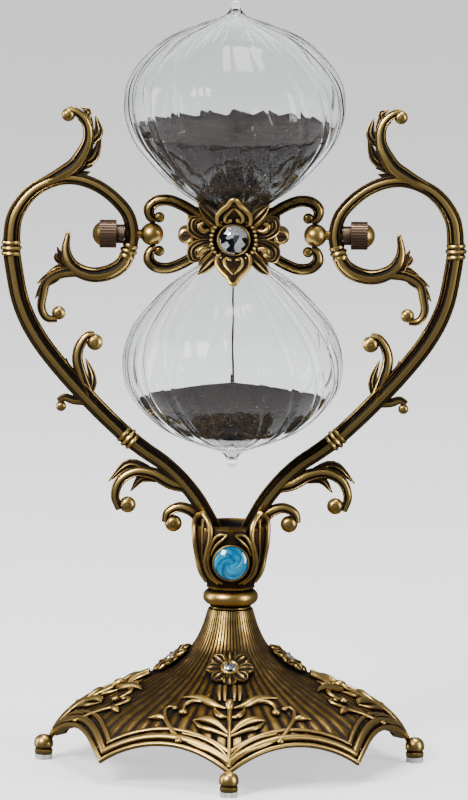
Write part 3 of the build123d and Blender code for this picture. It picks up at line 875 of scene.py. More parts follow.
# ---- stand ---------------------------------------------------------------------------------------
@dataclass
class BaseSkirt:
    """Fluted hollow skirt with eight arches, moulded rims, and barrel feet at four of its points."""

    outline: tuple[Point2, ...] = ((7.9, 54.4), (10.2, 47.2), (13.3, 41.4), (17.4, 37.4), (24.1, 32.8),
                                   (32.4, 28.6), (41.3, 24.5), (51.1, 20.0), (57.0, 15.4), (61.2, 10.5),
                                   (65.0, 3.0))
    wall: Point2 = (1.8, 2.2)
    flutes: int = 64
    flute_depth: float = 0.975
    arches: int = 8
    arch_radius: float = 41.5
    arch_crest: float = 15.3
    foot_radius: float = 65.4
    profile: list[Point2] = field(init=False)

    def __post_init__(self) -> None:
        """Works out the smooth ridge outline."""
        self.profile = flow(self.outline, 4)

    def height(self, radius: float) -> float:
        """Height of the ridge outline at a radius.

        Args:
            radius: in millimetres.

        Returns:
            The height in millimetres.
        """
        for (r0, z0), (r1, z1) in zip(self.profile, self.profile[1:]):
            if r0 <= radius <= r1:
                return z0 + (z1 - z0) * (radius - r0) / max(r1 - r0, 1e-6)
        return self.profile[-1][1]

    def reach(self, height: float) -> float:
        """Radius of the ridge outline at a height.

        Args:
            height: in millimetres.

        Returns:
            The radius in millimetres.
        """
        for (r0, z0), (r1, z1) in zip(self.profile, self.profile[1:]):
            if z1 <= height <= z0:
                return r0 + (r1 - r0) * (z0 - height) / max(z0 - z1, 1e-6)
        return self.profile[-1][0] if height < 10 else self.profile[0][0]

    def on_surface(self, across: float, radius: float, proud: float) -> Point3:
        """Place on the front ridge's skin.

        Args:
            across: distance to the right along the skin.
            radius: distance from the centre.
            proud: distance out of the skin.

        Returns:
            The place in millimetres.
        """
        slope = math.atan2(self.height(radius - 0.5) - self.height(radius + 0.5), 1.0)
        out = radius + proud * math.sin(slope)
        turn = across / radius - math.pi / 2
        return (out * math.cos(turn), out * math.sin(turn), self.height(radius) + proud * math.cos(slope))

    def rim_line(self, up: float, proud: float, reach: float) -> list[Point3]:
        """Line along the first arch's edge, some way above it.

        Args:
            up: distance above the arch's edge.
            proud: distance out of the skin.
            reach: how far the line goes to each side.

        Returns:
            Places in millimetres.
        """
        line = []
        middle = math.pi / self.arches
        for step in range(-8, 9):
            s = reach * step / 8
            z = self.arch_crest - self.arch_radius + math.sqrt((self.arch_radius + up) ** 2 - s * s)
            ahead = math.sqrt(max((self.reach(z) + proud) ** 2 - s * s, 1.0))
            line.append((ahead * math.cos(middle) - s * math.sin(middle),
                         ahead * math.sin(middle) + s * math.cos(middle), z))
        return line

    def build(self) -> bpy.types.Object:
        """Models the skirt: a turned shell, fluted, with its arches cut."""
        inward, down = self.wall
        inner = [(r - inward, z - down) for r, z in self.profile if z < 47]
        outline = [(0.0, 54.4), *self.profile, *reversed(inner), (3.0, 49.8), (0.0, 49.8)]
        skirt = lathe("skirt_shell_cast", outline, steps=self.flutes * 4, smooth_deg=30)
        edit(skirt)
        bpy.ops.mesh.select_mode(type="VERT")
        bpy.ops.mesh.select_all(action="DESELECT")
        mesh = bmesh.from_edit_mesh(skirt.data)
        patina = mesh.verts.layers.float.new(PATINA)
        for corner in mesh.verts:
            column = round(math.atan2(corner.co.y, corner.co.x) / TURN * self.flutes * 4)
            corner.select_set(column % 4 == 0 and corner.co.xy.length > 7.5 * MM and corner.co.z > 0)
            corner[patina] = 1.0 if corner.select else 0.25
        mesh.select_flush_mode()
        bmesh.update_edit_mesh(skirt.data)
        bpy.ops.transform.resize(value=(self.flute_depth, self.flute_depth, 1), center_override=(0, 0, 0))
        close_edit()
        for index in range(self.arches // 2):
            deselect_all()
            bpy.ops.mesh.primitive_cylinder_add(
                vertices=160, radius=self.arch_radius * MM, depth=0.2,
                location=(0, 0, (self.arch_crest - self.arch_radius) * MM),
                rotation=(0, math.pi / 2, (index + 0.5) * TURN / self.arches))
            cutter = named_active("arch_cutter")
            carve(skirt, "BOOLEAN", object=cutter, operation="DIFFERENCE", solver="EXACT")
            bpy.data.objects.remove(cutter)
        return settle(skirt, 30)

    def build_rims(self) -> bpy.types.Object:
        """Models the moulded band round one arch and copies it to the others."""
        rows = ((0.4, 0.3, 0.9, 24.4, 0.0), (2.2, -0.2, 1.6, 23.8, 0.35), (4.5, 0.2, 0.85, 23.0, 0.0))
        one = join("rim_moulding_cast", [
            blacken(strand(f"rim_{i}", self.rim_line(up, proud, reach), [r, r, r], smoothness=3), patina)
            for i, (up, proud, r, reach, patina) in enumerate(rows)])
        copies = [copy_of(one, f"rim_copy_{i}", Matrix.Rotation(i * TURN / self.arches, 4, "Z"))
                  for i in range(1, self.arches)]
        return join("rim_moulding_cast", [one, *copies])

    def build_barrels(self) -> bpy.types.Object:
        """Models one barrel foot with a rounded cap and two fillets, and copies it to the others."""
        outline = [(0.0, 1.8), (2.9, 1.8), (3.15, 2.2), (3.15, 3.4), (2.85, 3.7), (2.85, 4.1), (3.3, 4.5),
                   (3.4, 5.6), (3.2, 6.8), (2.6, 7.8), (1.6, 8.5), (0.0, 8.8)]
        barrel = lathe("barrel_feet_cast", outline, steps=32)
        barrel.data.transform(Matrix.Translation((self.foot_radius * MM, 0, 0)))
        copies = [copy_of(barrel, f"barrel_{i}", Matrix.Rotation(i * math.pi / 2, 4, "Z")) for i in (1, 2,
                                                                                                     3)]
        return join("barrel_feet_cast", [barrel, *copies])

    def dress(self, rack: FinishRack) -> None:
        """Builds and finishes every piece of the skirt."""
        dress(self.build(), rack.bronze, "antique_bronze", "stand", "base_skirt")
        dress(self.build_rims(), rack.bronze, "antique_bronze", "stand")
        dress(self.build_barrels(), rack.bronze, "antique_bronze", "stand")


@dataclass
class RidgeRelief:
    """Flower, stamens, leaves and stem cast on each ridge that ends in a foot."""

    skirt: BaseSkirt
    flower_at: float = 20.0
    flower_lean: float = 36.0
    petals: int = 8

    def flower_place(self) -> Matrix:
        """Where the front ridge's flower sits."""
        seat = Vector((self.flower_at, 0, self.skirt.height(self.flower_at) + 0.5)) * MM
        return (Matrix.Rotation(-math.pi / 2, 4, "Z") @ Matrix.Translation(seat)
                @ Matrix.Rotation(math.radians(self.flower_lean), 4, "Y"))

    def build_flower(self) -> bpy.types.Object:
        """Models the flower: hollow petals round a bezel, on a thin back plate."""
        parts = [blacken(lathe("flower_back",
                               [(0.0, -0.6), (5.4, -0.6), (5.8, 0.0), (4.6, 0.5), (0.0, 0.5)], 32), 0.9)]
        petal = sweep("petal", [(2.8, 0), (5.4, 0), (8.1, 0)], [0.9, 1.8, 2.5, 2.5, 0.9], Section.LEAF,
                      0.55, per=5,
                      sides=20)
        petal.data.transform(Matrix.Translation((0, 0, 0.7 * MM)))
        parts.append(petal)
        parts += [copy_of(petal, f"petal_{i}", Matrix.Rotation(i * TURN / self.petals, 4, "Z"))
                  for i in range(1, self.petals)]
        bezel = [(2.2, 0.3), (3.3, 0.3), (3.5, 1.0), (3.2, 1.5), (2.7, 1.7), (2.3, 1.4), (2.2, 0.3)]
        parts.append(lathe("flower_bezel", bezel, 40))
        return aim(join("flower_cast", parts), self.flower_place())

    def build_gem(self) -> bpy.types.Object:
        """Models the flower's round-cut crystal."""
        gem = cut_stone("flower_gem", 2.3, 0.6, 0.9)
        gem.data.transform(Matrix.Translation((0, 0, 0.7 * MM)))
        return aim(gem, self.flower_place())

    def wire(self, name: str, line: Sequence[Point3], radii: Sequence[float]) -> bpy.types.Object:
        """Bead of relief on the skin, from across, radius and proud of each knot."""
        return strand(name, [self.skirt.on_surface(*knot) for knot in line], radii, smoothness=5)

    def build_foliage(self) -> bpy.types.Object:
        """Models the leaves, stamens and stem of the front ridge."""
        parts = [self.wire("stem", [(0, 37, 0.7), (0, 46, 0.9), (0, 55, 0.7), (0, 62, 0.6)],
                           [1.0, 0.8, 0.7, 0.9]),
                 self.wire("bud", [(0, 35.5, 0.6), (0, 38.0, 1.5), (0, 41.5, 0.8)], [0.4, 1.7, 0.6])]
        for across in (-3.4, -1.6, 1.6, 3.4):
            parts.append(self.wire("stamen",
                                   [(across, 28.0, 0.9), (across * 1.05, 31.5, 1.0), (across, 35.5, 0.5)],
                                   [0.7, 0.85, 0.5]))
        for side in (1, -1):
            rows = (
                ([(1.2, 39.5), (5.0, 38.0), (8.6, 35.4), (13.0, 34.2), (17.0, 34.6)],
                 [0.6, 1.3, 1.7, 1.1, 0.2]),
                ([(7.0, 37.0), (7.6, 34.0), (6.4, 31.2)], [0.8, 1.1, 0.2]),
                ([(9.0, 36.0), (13.0, 36.4), (15.6, 38.4), (16.4, 41.4)], [0.8, 0.9, 0.8, 0.6]),
                ([(0.6, 44.5), (2.8, 44.2), (4.4, 42.0), (5.2, 39.4)], [0.6, 1.2, 1.0, 0.3]),
                ([(0.5, 52.5), (4.2, 48.4), (8.6, 46.2), (12.6, 46.4)], [0.6, 1.5, 1.6, 0.2]),
                ([(0.5, 53.5), (5.6, 51.4), (9.6, 50.0), (12.6, 46.6)], [0.5, 0.9, 0.9, 0.2]),
                ([(0.3, 61.5), (5.0, 59.0), (10.6, 57.2), (17.4, 55.0)], [0.5, 0.8, 0.8, 0.5]),
                ([(0.3, 60.0), (4.0, 57.0), (9.0, 54.6), (16.4, 53.0)], [0.4, 0.7, 0.7, 0.4]),
                ([(17.6, 55.6), (21.6, 50.0), (23.4, 44.8), (22.0, 40.6), (19.6, 40.2)],
                 [1.0, 0.8, 0.8, 0.7, 0.7]),
                ([(22.6, 47.0), (26.0, 46.6), (30.0, 47.6)], [0.5, 1.3, 0.2]),
            )
            for line, radii in rows:
                parts.append(self.wire("leaf", [(side * s, r, 0.5) for s, r in line], radii))
            for across, radius, size in ((16.4, 42.6, 1.5), (17.6, 55.8, 1.4), (19.4, 41.0, 1.1)):
                eye = button("eye", 0, 0, size)
                eye.data.transform(Matrix.Translation(Vector(self.skirt.on_surface(side * across, radius,
                                                                                   0.6)) * MM))
                parts.append(eye)
        return join("foliage_cast", parts)

    def dress(self, rack: FinishRack) -> None:
        """Builds the front ridge's relief and copies it to the other three."""
        turns = [Matrix.Rotation(i * math.pi / 2, 4, "Z") for i in (1, 2, 3)]
        for one, name, finish, slot_name, nodes in (
                (self.build_flower(), "ridge_flowers_cast", rack.bronze, "antique_bronze", ("rosettes",)),
                (self.build_foliage(), "ridge_foliage_cast", rack.bronze, "antique_bronze", ()),
                (self.build_gem(), "ridge_gems_cut", rack.crystal, "crystal", ("rosette_crystals",))):
            copies = [copy_of(one, f"{name}_{i}", turn) for i, turn in enumerate(turns)]
            dress(join(name, [one, *copies]), finish, slot_name, "stand", *nodes)


def cut_stone(name: str, radius: float, girdle: float, crown: float) -> bpy.types.Object:
    """Round cut stone on XY: a girdle, two turned rows of facets and a table.

    Args:
        name: the piece's name.
        radius: in millimetres.
        girdle: its height in millimetres.
        crown: height of the facets above it.

    Returns:
        The stone, flat shaded.
    """
    deselect_all()
    bpy.ops.mesh.primitive_circle_add(vertices=16, radius=radius * MM, fill_type="NGON")
    stone = named_active(name)
    edit(stone)
    bpy.ops.mesh.extrude_region_move(TRANSFORM_OT_translate={"value": (0, 0, girdle * MM)})
    for lift, grow in ((crown * 0.55, 0.8), (crown * 0.45, 0.66)):
        bpy.ops.mesh.extrude_region_move(TRANSFORM_OT_translate={"value": (0, 0, lift * MM)})
        bpy.ops.transform.resize(value=(grow, grow, 1), center_override=(0, 0, 0))
        bpy.ops.transform.rotate(value=TURN / 32, orient_axis="Z", center_override=(0, 0, 0))
    bpy.ops.mesh.select_all(action="SELECT")
    bpy.ops.mesh.quads_convert_to_tris()
    bpy.ops.mesh.normals_make_consistent(inside=False)
    close_edit()
    return stone


@dataclass
class Column:
    """Turned neck, collar and cup, with the cup's leaves and bezels."""

    bezel_z: float = 72.4
    bezel_face: float = 12.6
    cup_outline: tuple[Point2, ...] = ((8.0, 62.6), (8.6, 63.4), (10.7, 68.0), (11.9, 74.7), (12.6, 80.0),
                                       (12.2, 84.0))

    def cup_reach(self, height: float) -> float:
        """Radius of the cup at a height.

        Args:
            height: in millimetres.

        Returns:
            The radius in millimetres.
        """
        for (r0, z0), (r1, z1) in zip(self.cup_outline, self.cup_outline[1:]):
            if z0 <= height <= z1:
                return r0 + (r1 - r0) * (height - z0) / (z1 - z0)
        return self.cup_outline[-1][0] if height > 80 else self.cup_outline[0][0]

    def on_cup(self, x: float, z: float, proud: float) -> Point3:
        """Place on the cup's front, some way out of its skin.

        Args:
            x: distance to the right in millimetres.
            z: height in millimetres.
            proud: distance out of the skin in millimetres.

        Returns:
            The place in millimetres.
        """
        reach = self.cup_reach(z) + proud
        x = max(-reach * 0.985, min(reach * 0.985, x))
        return (x, -math.sqrt(reach * reach - x * x), z)

    def build_rings(self) -> bpy.types.Object:
        """Models the neck ring and the fat collar as one turned piece."""
        fat = [(9.7 - 2.75 + 2.75 * math.sin(i * math.pi / 12), 58.65 - 2.75 * math.cos(i * math.pi / 12))
               for i in range(13)]
        outline = [(2.5, 54.4), (6.6, 54.4), (7.2, 54.8), (7.2, 55.4), (6.5, 55.8), *fat, (7.4, 61.5),
                   (7.4, 61.8),
                   (8.4, 62.0), (8.6, 62.4), (8.2, 62.8), (2.5, 62.8), (2.5, 54.4)]
        return lathe("collar_turned", outline, 72)

    def build_cup(self) -> bpy.types.Object:
        """Models the cup with its bezels and its looped and pointed leaves."""
        bowl = blacken(lathe("cup_bowl", [(0.0, 61.6), *flow(self.cup_outline, 3), (10.6, 84.8),
                                          (9.4, 83.2), (0.0, 82.0)],
                             72), 0.75)
        parts = [bowl]
        ring = [(5.6, 8.0), (6.5, 8.0), (6.55, 12.2), (6.4, 12.8), (6.1, 12.9), (5.85, 12.6), (5.6, 8.0)]
        bezel = aim(lathe("cup_bezel", ring, 48), to_front(0, 0, self.bezel_z))
        parts.append(bezel)
        for side in (1, -1):
            rows = (
                ([(9.9, 89.2), (7.7, 85.6), (7.2, 80.6), (8.2, 76.0), (8.7, 71.6), (7.4, 67.4),
                  (4.2, 64.6)], 0.95, 0.9),
                ([(9.9, 89.2), (12.4, 86.2), (12.6, 80.0), (11.6, 73.0), (10.4, 68.0), (8.4, 64.4)], 1.15,
                 0.4),
                ([(1.4, 82.2), (4.2, 82.2), (6.5, 79.4), (7.6, 75.2), (7.6, 71.0), (6.0, 67.0),
                  (2.8, 64.6)], 0.6, 0.9),
                ([(1.4, 82.2), (3.3, 80.4), (5.4, 78.2), (6.9, 74.8)], 0.5, 0.9),
                ([(9.9, 87.2), (9.9, 82.0), (9.9, 76.0), (9.8, 71.5)], 0.45, 0.0),
            )
            for line, radius, proud in rows:
                parts.append(strand("cup_leaf", [self.on_cup(side * x, z, proud) for x, z in line],
                                    [radius * 0.8, radius, radius, radius, radius * 0.7]))
        front = join("cup_front", parts[1:])
        return join("cup_cast", [bowl, front, copy_of(front, "cup_back", BACK)])

    def dress(self, rack: FinishRack) -> None:
        """Builds and finishes every piece of the column."""
        dress(self.build_rings(), rack.bronze, "antique_bronze", "stand", "neck_ring", "collar_ring")
        dress(self.build_cup(), rack.bronze, "antique_bronze", "stand", "cup")


@dataclass
class ArmCasting:
    """One scroll arm of the heart: its loop, stem, hook and seven leafy scrolls."""

    band_top: Point2 = (77.6, 181.2)
    band_low: Point2 = (36.3, 114.6)
    leaf_taper: tuple[float, ...] = (0.3, 0.46, 0.5, 0.42, 0.26, 0.05)
    ring: tuple[Point2, ...] = ((77.6, 181.2), (76.9, 190.2), (74.6, 195.8), (70.8, 200.5), (66.0, 203.7),
                                (59.7, 205.6),
                                (53.2, 205.2), (46.7, 202.6), (41.0, 198.2), (36.9, 193.0), (35.4, 186.6),
                                (36.2, 181.0))
    outer: tuple[Point2, ...] = ((77.6, 181.2), (76.7, 174.7), (74.8, 164.5), (72.2, 157.2), (69.0, 151.2),
                                 (64.6, 144.8), (56.8, 135.4), (46.6, 124.5), (36.3, 114.6))
    lower: tuple[Point2, ...] = ((36.3, 114.6), (30.1, 110.0), (23.7, 105.6), (17.5, 99.8), (12.1, 93.1),
                                 (7.6, 85.5),
                                 (5.0, 80.5))
    hook: tuple[Point2, ...] = ((36.2, 181.0), (38.6, 176.0), (42.9, 173.0), (48.7, 171.9), (53.8, 173.3),
                                (57.2, 176.3),
                                (58.5, 180.7), (57.8, 186.0))
    drop: tuple[Point2, ...] = ((53.6, 173.2), (60.2, 172.3), (65.0, 169.4), (66.4, 164.6), (66.9, 160.0),
                                (65.0, 156.6),
                                (61.4, 156.2))
    acanthus: tuple[Point2, ...] = ((72.8, 198.2), (67.6, 202.9), (61.6, 206.2), (56.0, 209.8),
                                    (52.8, 214.2), (51.0, 218.6), (50.9, 223.1),
                                    (52.5, 226.8), (55.6, 229.2), (58.2, 229.6))
    middle: tuple[Point2, ...] = ((50.0, 128.2), (52.4, 134.8), (54.2, 141.6), (53.7, 146.2), (51.1, 150.2),
                                  (48.3, 150.9))
    curl: tuple[Point2, ...] = ((50.6, 127.6), (55.4, 127.7), (58.5, 128.6), (60.9, 127.3))
    branch: tuple[Point2, ...] = ((16.0, 97.4), (21.2, 98.6), (27.2, 101.8), (33.5, 102.6), (38.8, 99.6),
                                  (40.8, 94.2),
                                  (39.3, 89.2))
    cup_curl: tuple[Point2, ...] = ((9.8, 84.6), (13.6, 88.6), (18.3, 90.1), (22.2, 88.2), (23.2, 84.8))

    def band(self, at: Point2, heading: float, radius: float) -> bpy.types.Object:
        """Turned band: a bright ring between two dark grooves.

        Args:
            at: its place.
            heading: degrees from +Z towards +X.
            radius: of the tube under it.

        Returns:
            The band, standing in the XZ plane.
        """
        shape = ((0.0, -2.6), (0.86, -2.6), (1.04, -2.5), (1.1, -1.9), (1.02, -1.3), (0.88, -1.1),
                 (0.88, -0.8), (1.12, -0.6),
                 (1.22, 0.0), (1.12, 0.6), (0.88, 0.8), (0.88, 1.1), (1.02, 1.3), (1.1, 1.9), (1.04, 2.5),
                 (0.86, 2.6),
                 (0.0, 2.6))
        ring = lathe("band", [(radius * r, z) for r, z in shape], 40)
        return aim(ring, Matrix.Translation(Vector((at[0], 0, at[1])) * MM)
                   @ Matrix.Rotation(math.radians(heading), 4, "Y"))

    def leaf(self, root: Point2, bend: Point2, tip: Point2, width: float) -> bpy.types.Object:
        """Pointed acanthus lobe with a raised rim and rib, drawn on XY.

        Args:
            root: where it grows from.
            bend: a place that it passes.
            tip: its point.
            width: at its widest.

        Returns:
            The lobe.
        """
        return sweep("leaf", [root, bend, tip], [width * k for k in self.leaf_taper], Section.LEAF, 0.5,
                     per=5,
                     sides=20)

    def scroll(self, name: str, line: Sequence[Point2], radii: Sequence[float], eye: Point2,
               eye_radius: float,
               leaves: Sequence[tuple[Point2, Point2, Point2, float]], hand: int = 1) -> bpy.types.Object:
        """Reeded stem that ends in a volute eye, with leaves.

        Args:
            name: the piece's name.
            line: the stem's knots.
            radii: its radii.
            eye: the volute's centre.
            eye_radius: its radius.
            leaves: root, bend, tip and width of each leaf.
            hand: 1, or -1 to swap the grooves.

        Returns:
            The scroll, standing in the XZ plane.
        """
        parts = [sweep(name, line, radii, Section.REEDED, hand=hand),
                 button("eye", eye[0], eye[1], eye_radius)]
        parts += [self.leaf(root, bend, tip, width) for root, bend, tip, width in leaves]
        return aim(join(name, parts), stand_up())

    def build(self) -> list[tuple[bpy.types.Object, str]]:
        """Models the right arm.

        Returns:
            Each piece with the CAD node that it stands for, without its side.
        """
        top = aim(sweep("right_loop_cast", self.ring, [3.1, 2.8, 2.4, 2.2, 2.2, 2.3, 2.5], Section.FLUTED),
                  stand_up())
        loop = join("right_loop_cast",
                    [top, self.band(self.band_top, 0, 3.15), self.band((36.6, 180.4), -18, 2.55)])
        stem = aim(sweep("right_stem_cast", self.outer, [3.1, 3.1, 3.2, 3.2, 3.0], Section.FLUTED,
                         hand=-1), stand_up())
        stem = join("right_stem_cast", [stem, self.band(self.band_low, 48, 3.05)])
        root = aim(sweep("right_root_cast", self.lower, [3.0, 2.8, 2.8, 2.7], Section.FLUTED, hand=-1),
                   stand_up())
        sprig = [((52.6, 172.6), (58.6, 175.4), (61.6, 181.6), 3.8),
                 ((57.0, 174.6), (61.4, 177.4), (62.0, 179.6), 2.6)]
        hook = self.scroll("right_hook_cast", self.hook, [2.5, 2.8, 2.6, 2.2, 0.9], (57.8, 186.2), 0.9,
                           sprig)
        crest = [((55.0, 211.0), (49.2, 213.2), (46.4, 220.4), 4.2),
                 ((53.0, 211.6), (51.4, 216.6), (48.6, 221.0), 3.2),
                 ((51.4, 217.6), (47.4, 221.8), (48.4, 227.6), 3.8),
                 ((51.6, 219.0), (50.4, 223.6), (50.2, 228.4), 3.0),
                 ((64.6, 204.8), (57.0, 208.6), (49.2, 210.2), 4.4),
                 ((60.0, 205.6), (54.6, 206.8), (50.0, 208.0), 3.4),
                 ((54.0, 225.6), (51.0, 228.8), (53.6, 230.6), 2.8)]
        plume = self.scroll("right_plume_cast", self.acanthus, [1.0, 2.2, 2.9, 2.7, 2.1, 1.8, 1.5, 1.2],
                            (57.9, 227.9), 2.35, crest, -1)
        return [
            (loop, "arm_ring"), (stem, "arm_outer"), (root, "arm_lower"), (hook, "hook"),
            (plume, "acanthus_scroll"),
            (self.scroll("right_drop_cast", self.drop, [2.0, 1.7, 1.5, 1.2], (60.9, 158.4), 2.4,
                         [((55.6, 173.2), (60.6, 174.4), (65.4, 172.0), 2.8), ((58.4, 171.8), (64.0, 171.4),
                                                                              (68.6, 168.6), 3.0),
                          ((61.0, 170.8), (66.0, 168.2), (69.2, 163.4), 3.0)]), "drop_scroll"),
            (self.scroll("right_midleaf_cast", self.middle, [2.4, 2.0, 1.7, 1.3], (48.2, 148.2), 2.9,
                         [((50.8, 128.6), (56.0, 134.0), (58.2, 142.6), 3.6), ((50.4, 129.0), (49.0, 135.4),
                                                                              (51.4, 142.6), 3.4)]),
                                                                              "middle_scroll"),
            (self.scroll("right_midcurl_cast", self.curl, [1.8, 1.5, 1.2], (59.9, 125.5), 1.8, []),
             "middle_curl"),
            (self.scroll("right_branch_cast", self.branch, [2.2, 2.4, 2.0, 1.7, 1.3], (36.4, 90.9), 2.9,
                         [((26.0, 101.2), (35.6, 105.2), (43.2, 99.0), 4.0), ((24.0, 100.0), (31.2, 100.4),
                                                                             (35.4, 95.6), 3.6)], -1),
                                                                             "branch_scroll"),
            (self.scroll("right_cupcurl_cast", self.cup_curl, [2.2, 2.0, 1.7, 1.3], (20.3, 84.4), 3.0, [],
                         -1),
             "cup_curl"),
        ]

    def dress(self, rack: FinishRack) -> None:
        """Builds the right arm, mirrors it to the left, and finishes both."""
        for piece, node in self.build():
            twin = copy_of(piece, piece.name.replace("right", "left"), MIRROR)
            dress(piece, rack.bronze, "antique_bronze", "stand", f"{Side.RIGHT.value}_{node}")
            dress(twin, rack.bronze, "antique_bronze", "stand", f"{Side.LEFT.value}_{node}")


# ---- hourglass -----------------------------------------------------------------------------------
@dataclass
class GlassBulbs:
    """Mould-ribbed double bulb, its drawn tips, and the sand inside."""

    outline: tuple[Point2, ...] = ((3.6, 0.0), (3.6, 3.3), (5.4, 6.0), (11.0, 10.1), (17.0, 13.8),
                                   (23.0, 18.5),
                                   (29.0, 24.7), (35.0, 32.4), (38.0, 40.3), (38.5, 46.4), (37.2, 53.6),
                                   (32.0, 61.5),
                                   (23.0, 69.0), (12.0, 73.6), (6.8, 75.3), (3.8, 76.6), (2.2, 78.2),
                                   (1.7, 79.4))
    ribs: int = 20
    rib_depth: float = 0.982
    swirl: float = 0.45
    wall: float = 1.1
    sand_inset: float = 1.3
    tip_height: float = 79.2
    throat: float = 6.5
    toe: float = 73.0
    upper_level: float = 35.6
    slope: float = 0.085
    climb_step: float = 0.34
    heap_edge: float = 58.4
    heap_peak: float = 52.0

    def skin(self, name: str, inset: float, low: float, high: float) -> bpy.types.Object:
        """Ribbed skin of the upper bulb between two heights: a ring extruded, grown and turned upwards.

        Args:
            name: the piece's name.
            inset: distance inside the glass's outer face.
            low: height above the pivot where it starts.
            high: height where it ends.

        Returns:
            The open skin, with its last ring selected.
        """
        profile = flow(self.outline, 4)
        rows = []
        for index, (r, h) in enumerate(profile):
            (r0, h0), (r1, h1) = profile[max(index - 1, 0)], profile[min(index + 1, len(profile) - 1)]
            length = math.hypot(r1 - r0, h1 - h0)
            rows.append((r - inset * (h1 - h0) / length, h + inset * (r1 - r0) / length))
        kept = [row for row in rows if low < row[1] < high]
        for limit, at_start in ((low, True), (high, False)):
            for (r0, h0), (r1, h1) in zip(rows, rows[1:]):
                if h0 <= limit <= h1:
                    edge = (r0 + (r1 - r0) * (limit - h0) / max(h1 - h0, 1e-6), limit)
                    kept = [edge, *kept] if at_start else [*kept, edge]
                    break
        deselect_all()
        bpy.ops.mesh.primitive_circle_add(vertices=self.ribs * 8, radius=kept[0][0] * MM,
                                          location=(0, 0, kept[0][1] * MM))
        skin = named_active(name)
        apply_place(skin)
        edit(skin)
        bpy.ops.mesh.select_mode(type="VERT")
        bpy.ops.mesh.select_all(action="DESELECT")
        mesh = bmesh.from_edit_mesh(skin.data)
        for corner in mesh.verts:
            column = round(math.atan2(corner.co.y, corner.co.x) / TURN * self.ribs * 8)
            corner.select_set(column % 8 == 0)
        mesh.select_flush_mode()
        bmesh.update_edit_mesh(skin.data)
        bpy.ops.transform.resize(value=(self.rib_depth, self.rib_depth, 1), center_override=(0, 0, 0))
        bpy.ops.mesh.select_all(action="SELECT")
        bpy.ops.transform.rotate(value=self.swirl * kept[0][1] / 75, orient_axis="Z",
                                 center_override=(0, 0, 0))
        for (r0, h0), (r1, h1) in zip(kept, kept[1:]):
            bpy.ops.mesh.extrude_region_move(TRANSFORM_OT_translate={"value": (0, 0, (h1 - h0) * MM)})
            bpy.ops.transform.resize(value=(r1 / r0, r1 / r0, 1), center_override=(0, 0, 0))
            bpy.ops.transform.rotate(value=self.swirl * (h1 - h0) / 75, orient_axis="Z",
                                     center_override=(0, 0, 0))
        return skin

    def build_glass(self) -> bpy.types.Object:
        """Models the glass: both skins bridged at the neck, closed at the tips and thickened inwards."""
        upper = self.skin("glass_upper", 0.0, 0.5, self.tip_height)
        bpy.ops.mesh.fill()
        close_edit()
        lower = copy_of(upper, "glass_lower", Matrix.Rotation(math.pi, 4, "X"))
        glass = join("glass_bulbs_blown", [upper, lower])
        edit(glass)
        bpy.ops.mesh.select_mode(type="EDGE")
        bpy.ops.mesh.select_all(action="DESELECT")
        mesh = bmesh.from_edit_mesh(glass.data)
        for edge in mesh.edges:
            edge.select_set(edge.is_boundary and all(abs(v.co.z) < 2 * MM for v in edge.verts))
        bmesh.update_edit_mesh(glass.data)
        bpy.ops.mesh.bridge_edge_loops()
        close_edit()
        settle(glass, 180)
        carve(glass, "SOLIDIFY", thickness=self.wall * MM, offset=-1.0, use_even_offset=True)
        tip = [(0.0, 79.0), (1.5, 79.0), (1.3, 79.5), (1.7, 80.0), (1.85, 80.7), (1.6, 81.4), (1.0, 81.85),
               (0.0, 82.0)]
        top = lathe("glass_tip", tip, 48, 180)
        bottom = copy_of(top, "glass_tip_low", Matrix.Rotation(math.pi, 4, "X"))
        return aim(join("glass_bulbs_blown", [glass, top, bottom]),
                   Matrix.Translation((0, 0, PIVOT_Z * MM)))

    def build_upper_sand(self) -> bpy.types.Object:
        """Models the upper sand: ribbed like the glass round it, with a dimpled, grainy top."""
        sand = self.skin("upper_sand_poured", self.sand_inset, self.throat, self.upper_level)
        bpy.ops.transform.rotate(value=-self.slope, orient_axis="X",
                                 center_override=(0, 0, self.upper_level * MM))
        self.climb(sand)
        for grow, drop in ((0.9, 0.2), (0.75, 0.3), (0.55, 0.3), (0.3, 0.4), (0.08, 0.6)):
            bpy.ops.mesh.extrude_region_move(TRANSFORM_OT_translate={"value": (0, 0, -drop * MM)})
            bpy.ops.transform.resize(value=(grow, grow, 1), center_override=(0, 0, 0))
        bpy.ops.mesh.fill()
        self.close_start(sand, self.throat)
        return aim(settle(sand, 180), Matrix.Translation((0, 0, PIVOT_Z * MM)))

    def climb(self, sand: bpy.types.Object) -> None:
        """Lets the sand's edge climb from rib to rib, as poured sand does in ribbed glass.

        Args:
            sand: the open skin, in edit mode, with its last ring selected.
        """
        mesh = bmesh.from_edit_mesh(sand.data)
        ring = [corner.index for corner in mesh.verts if corner.select]
        for place in range(1, 7):
            bpy.ops.mesh.select_all(action="DESELECT")
            mesh = bmesh.from_edit_mesh(sand.data)
            mesh.verts.ensure_lookup_table()
            for index in ring[place::8]:
                mesh.verts[index].select_set(True)
            mesh.select_flush_mode()
            bmesh.update_edit_mesh(sand.data)
            bpy.ops.transform.translate(value=(0, 0, place * self.climb_step * MM))
        bpy.ops.mesh.select_mode(type="EDGE")
        bpy.ops.mesh.select_all(action="DESELECT")
        mesh = bmesh.from_edit_mesh(sand.data)
        edge_ring = set(ring)
        for edge in mesh.edges:
            edge.select_set(all(corner.index in edge_ring for corner in edge.verts))
        bmesh.update_edit_mesh(sand.data)

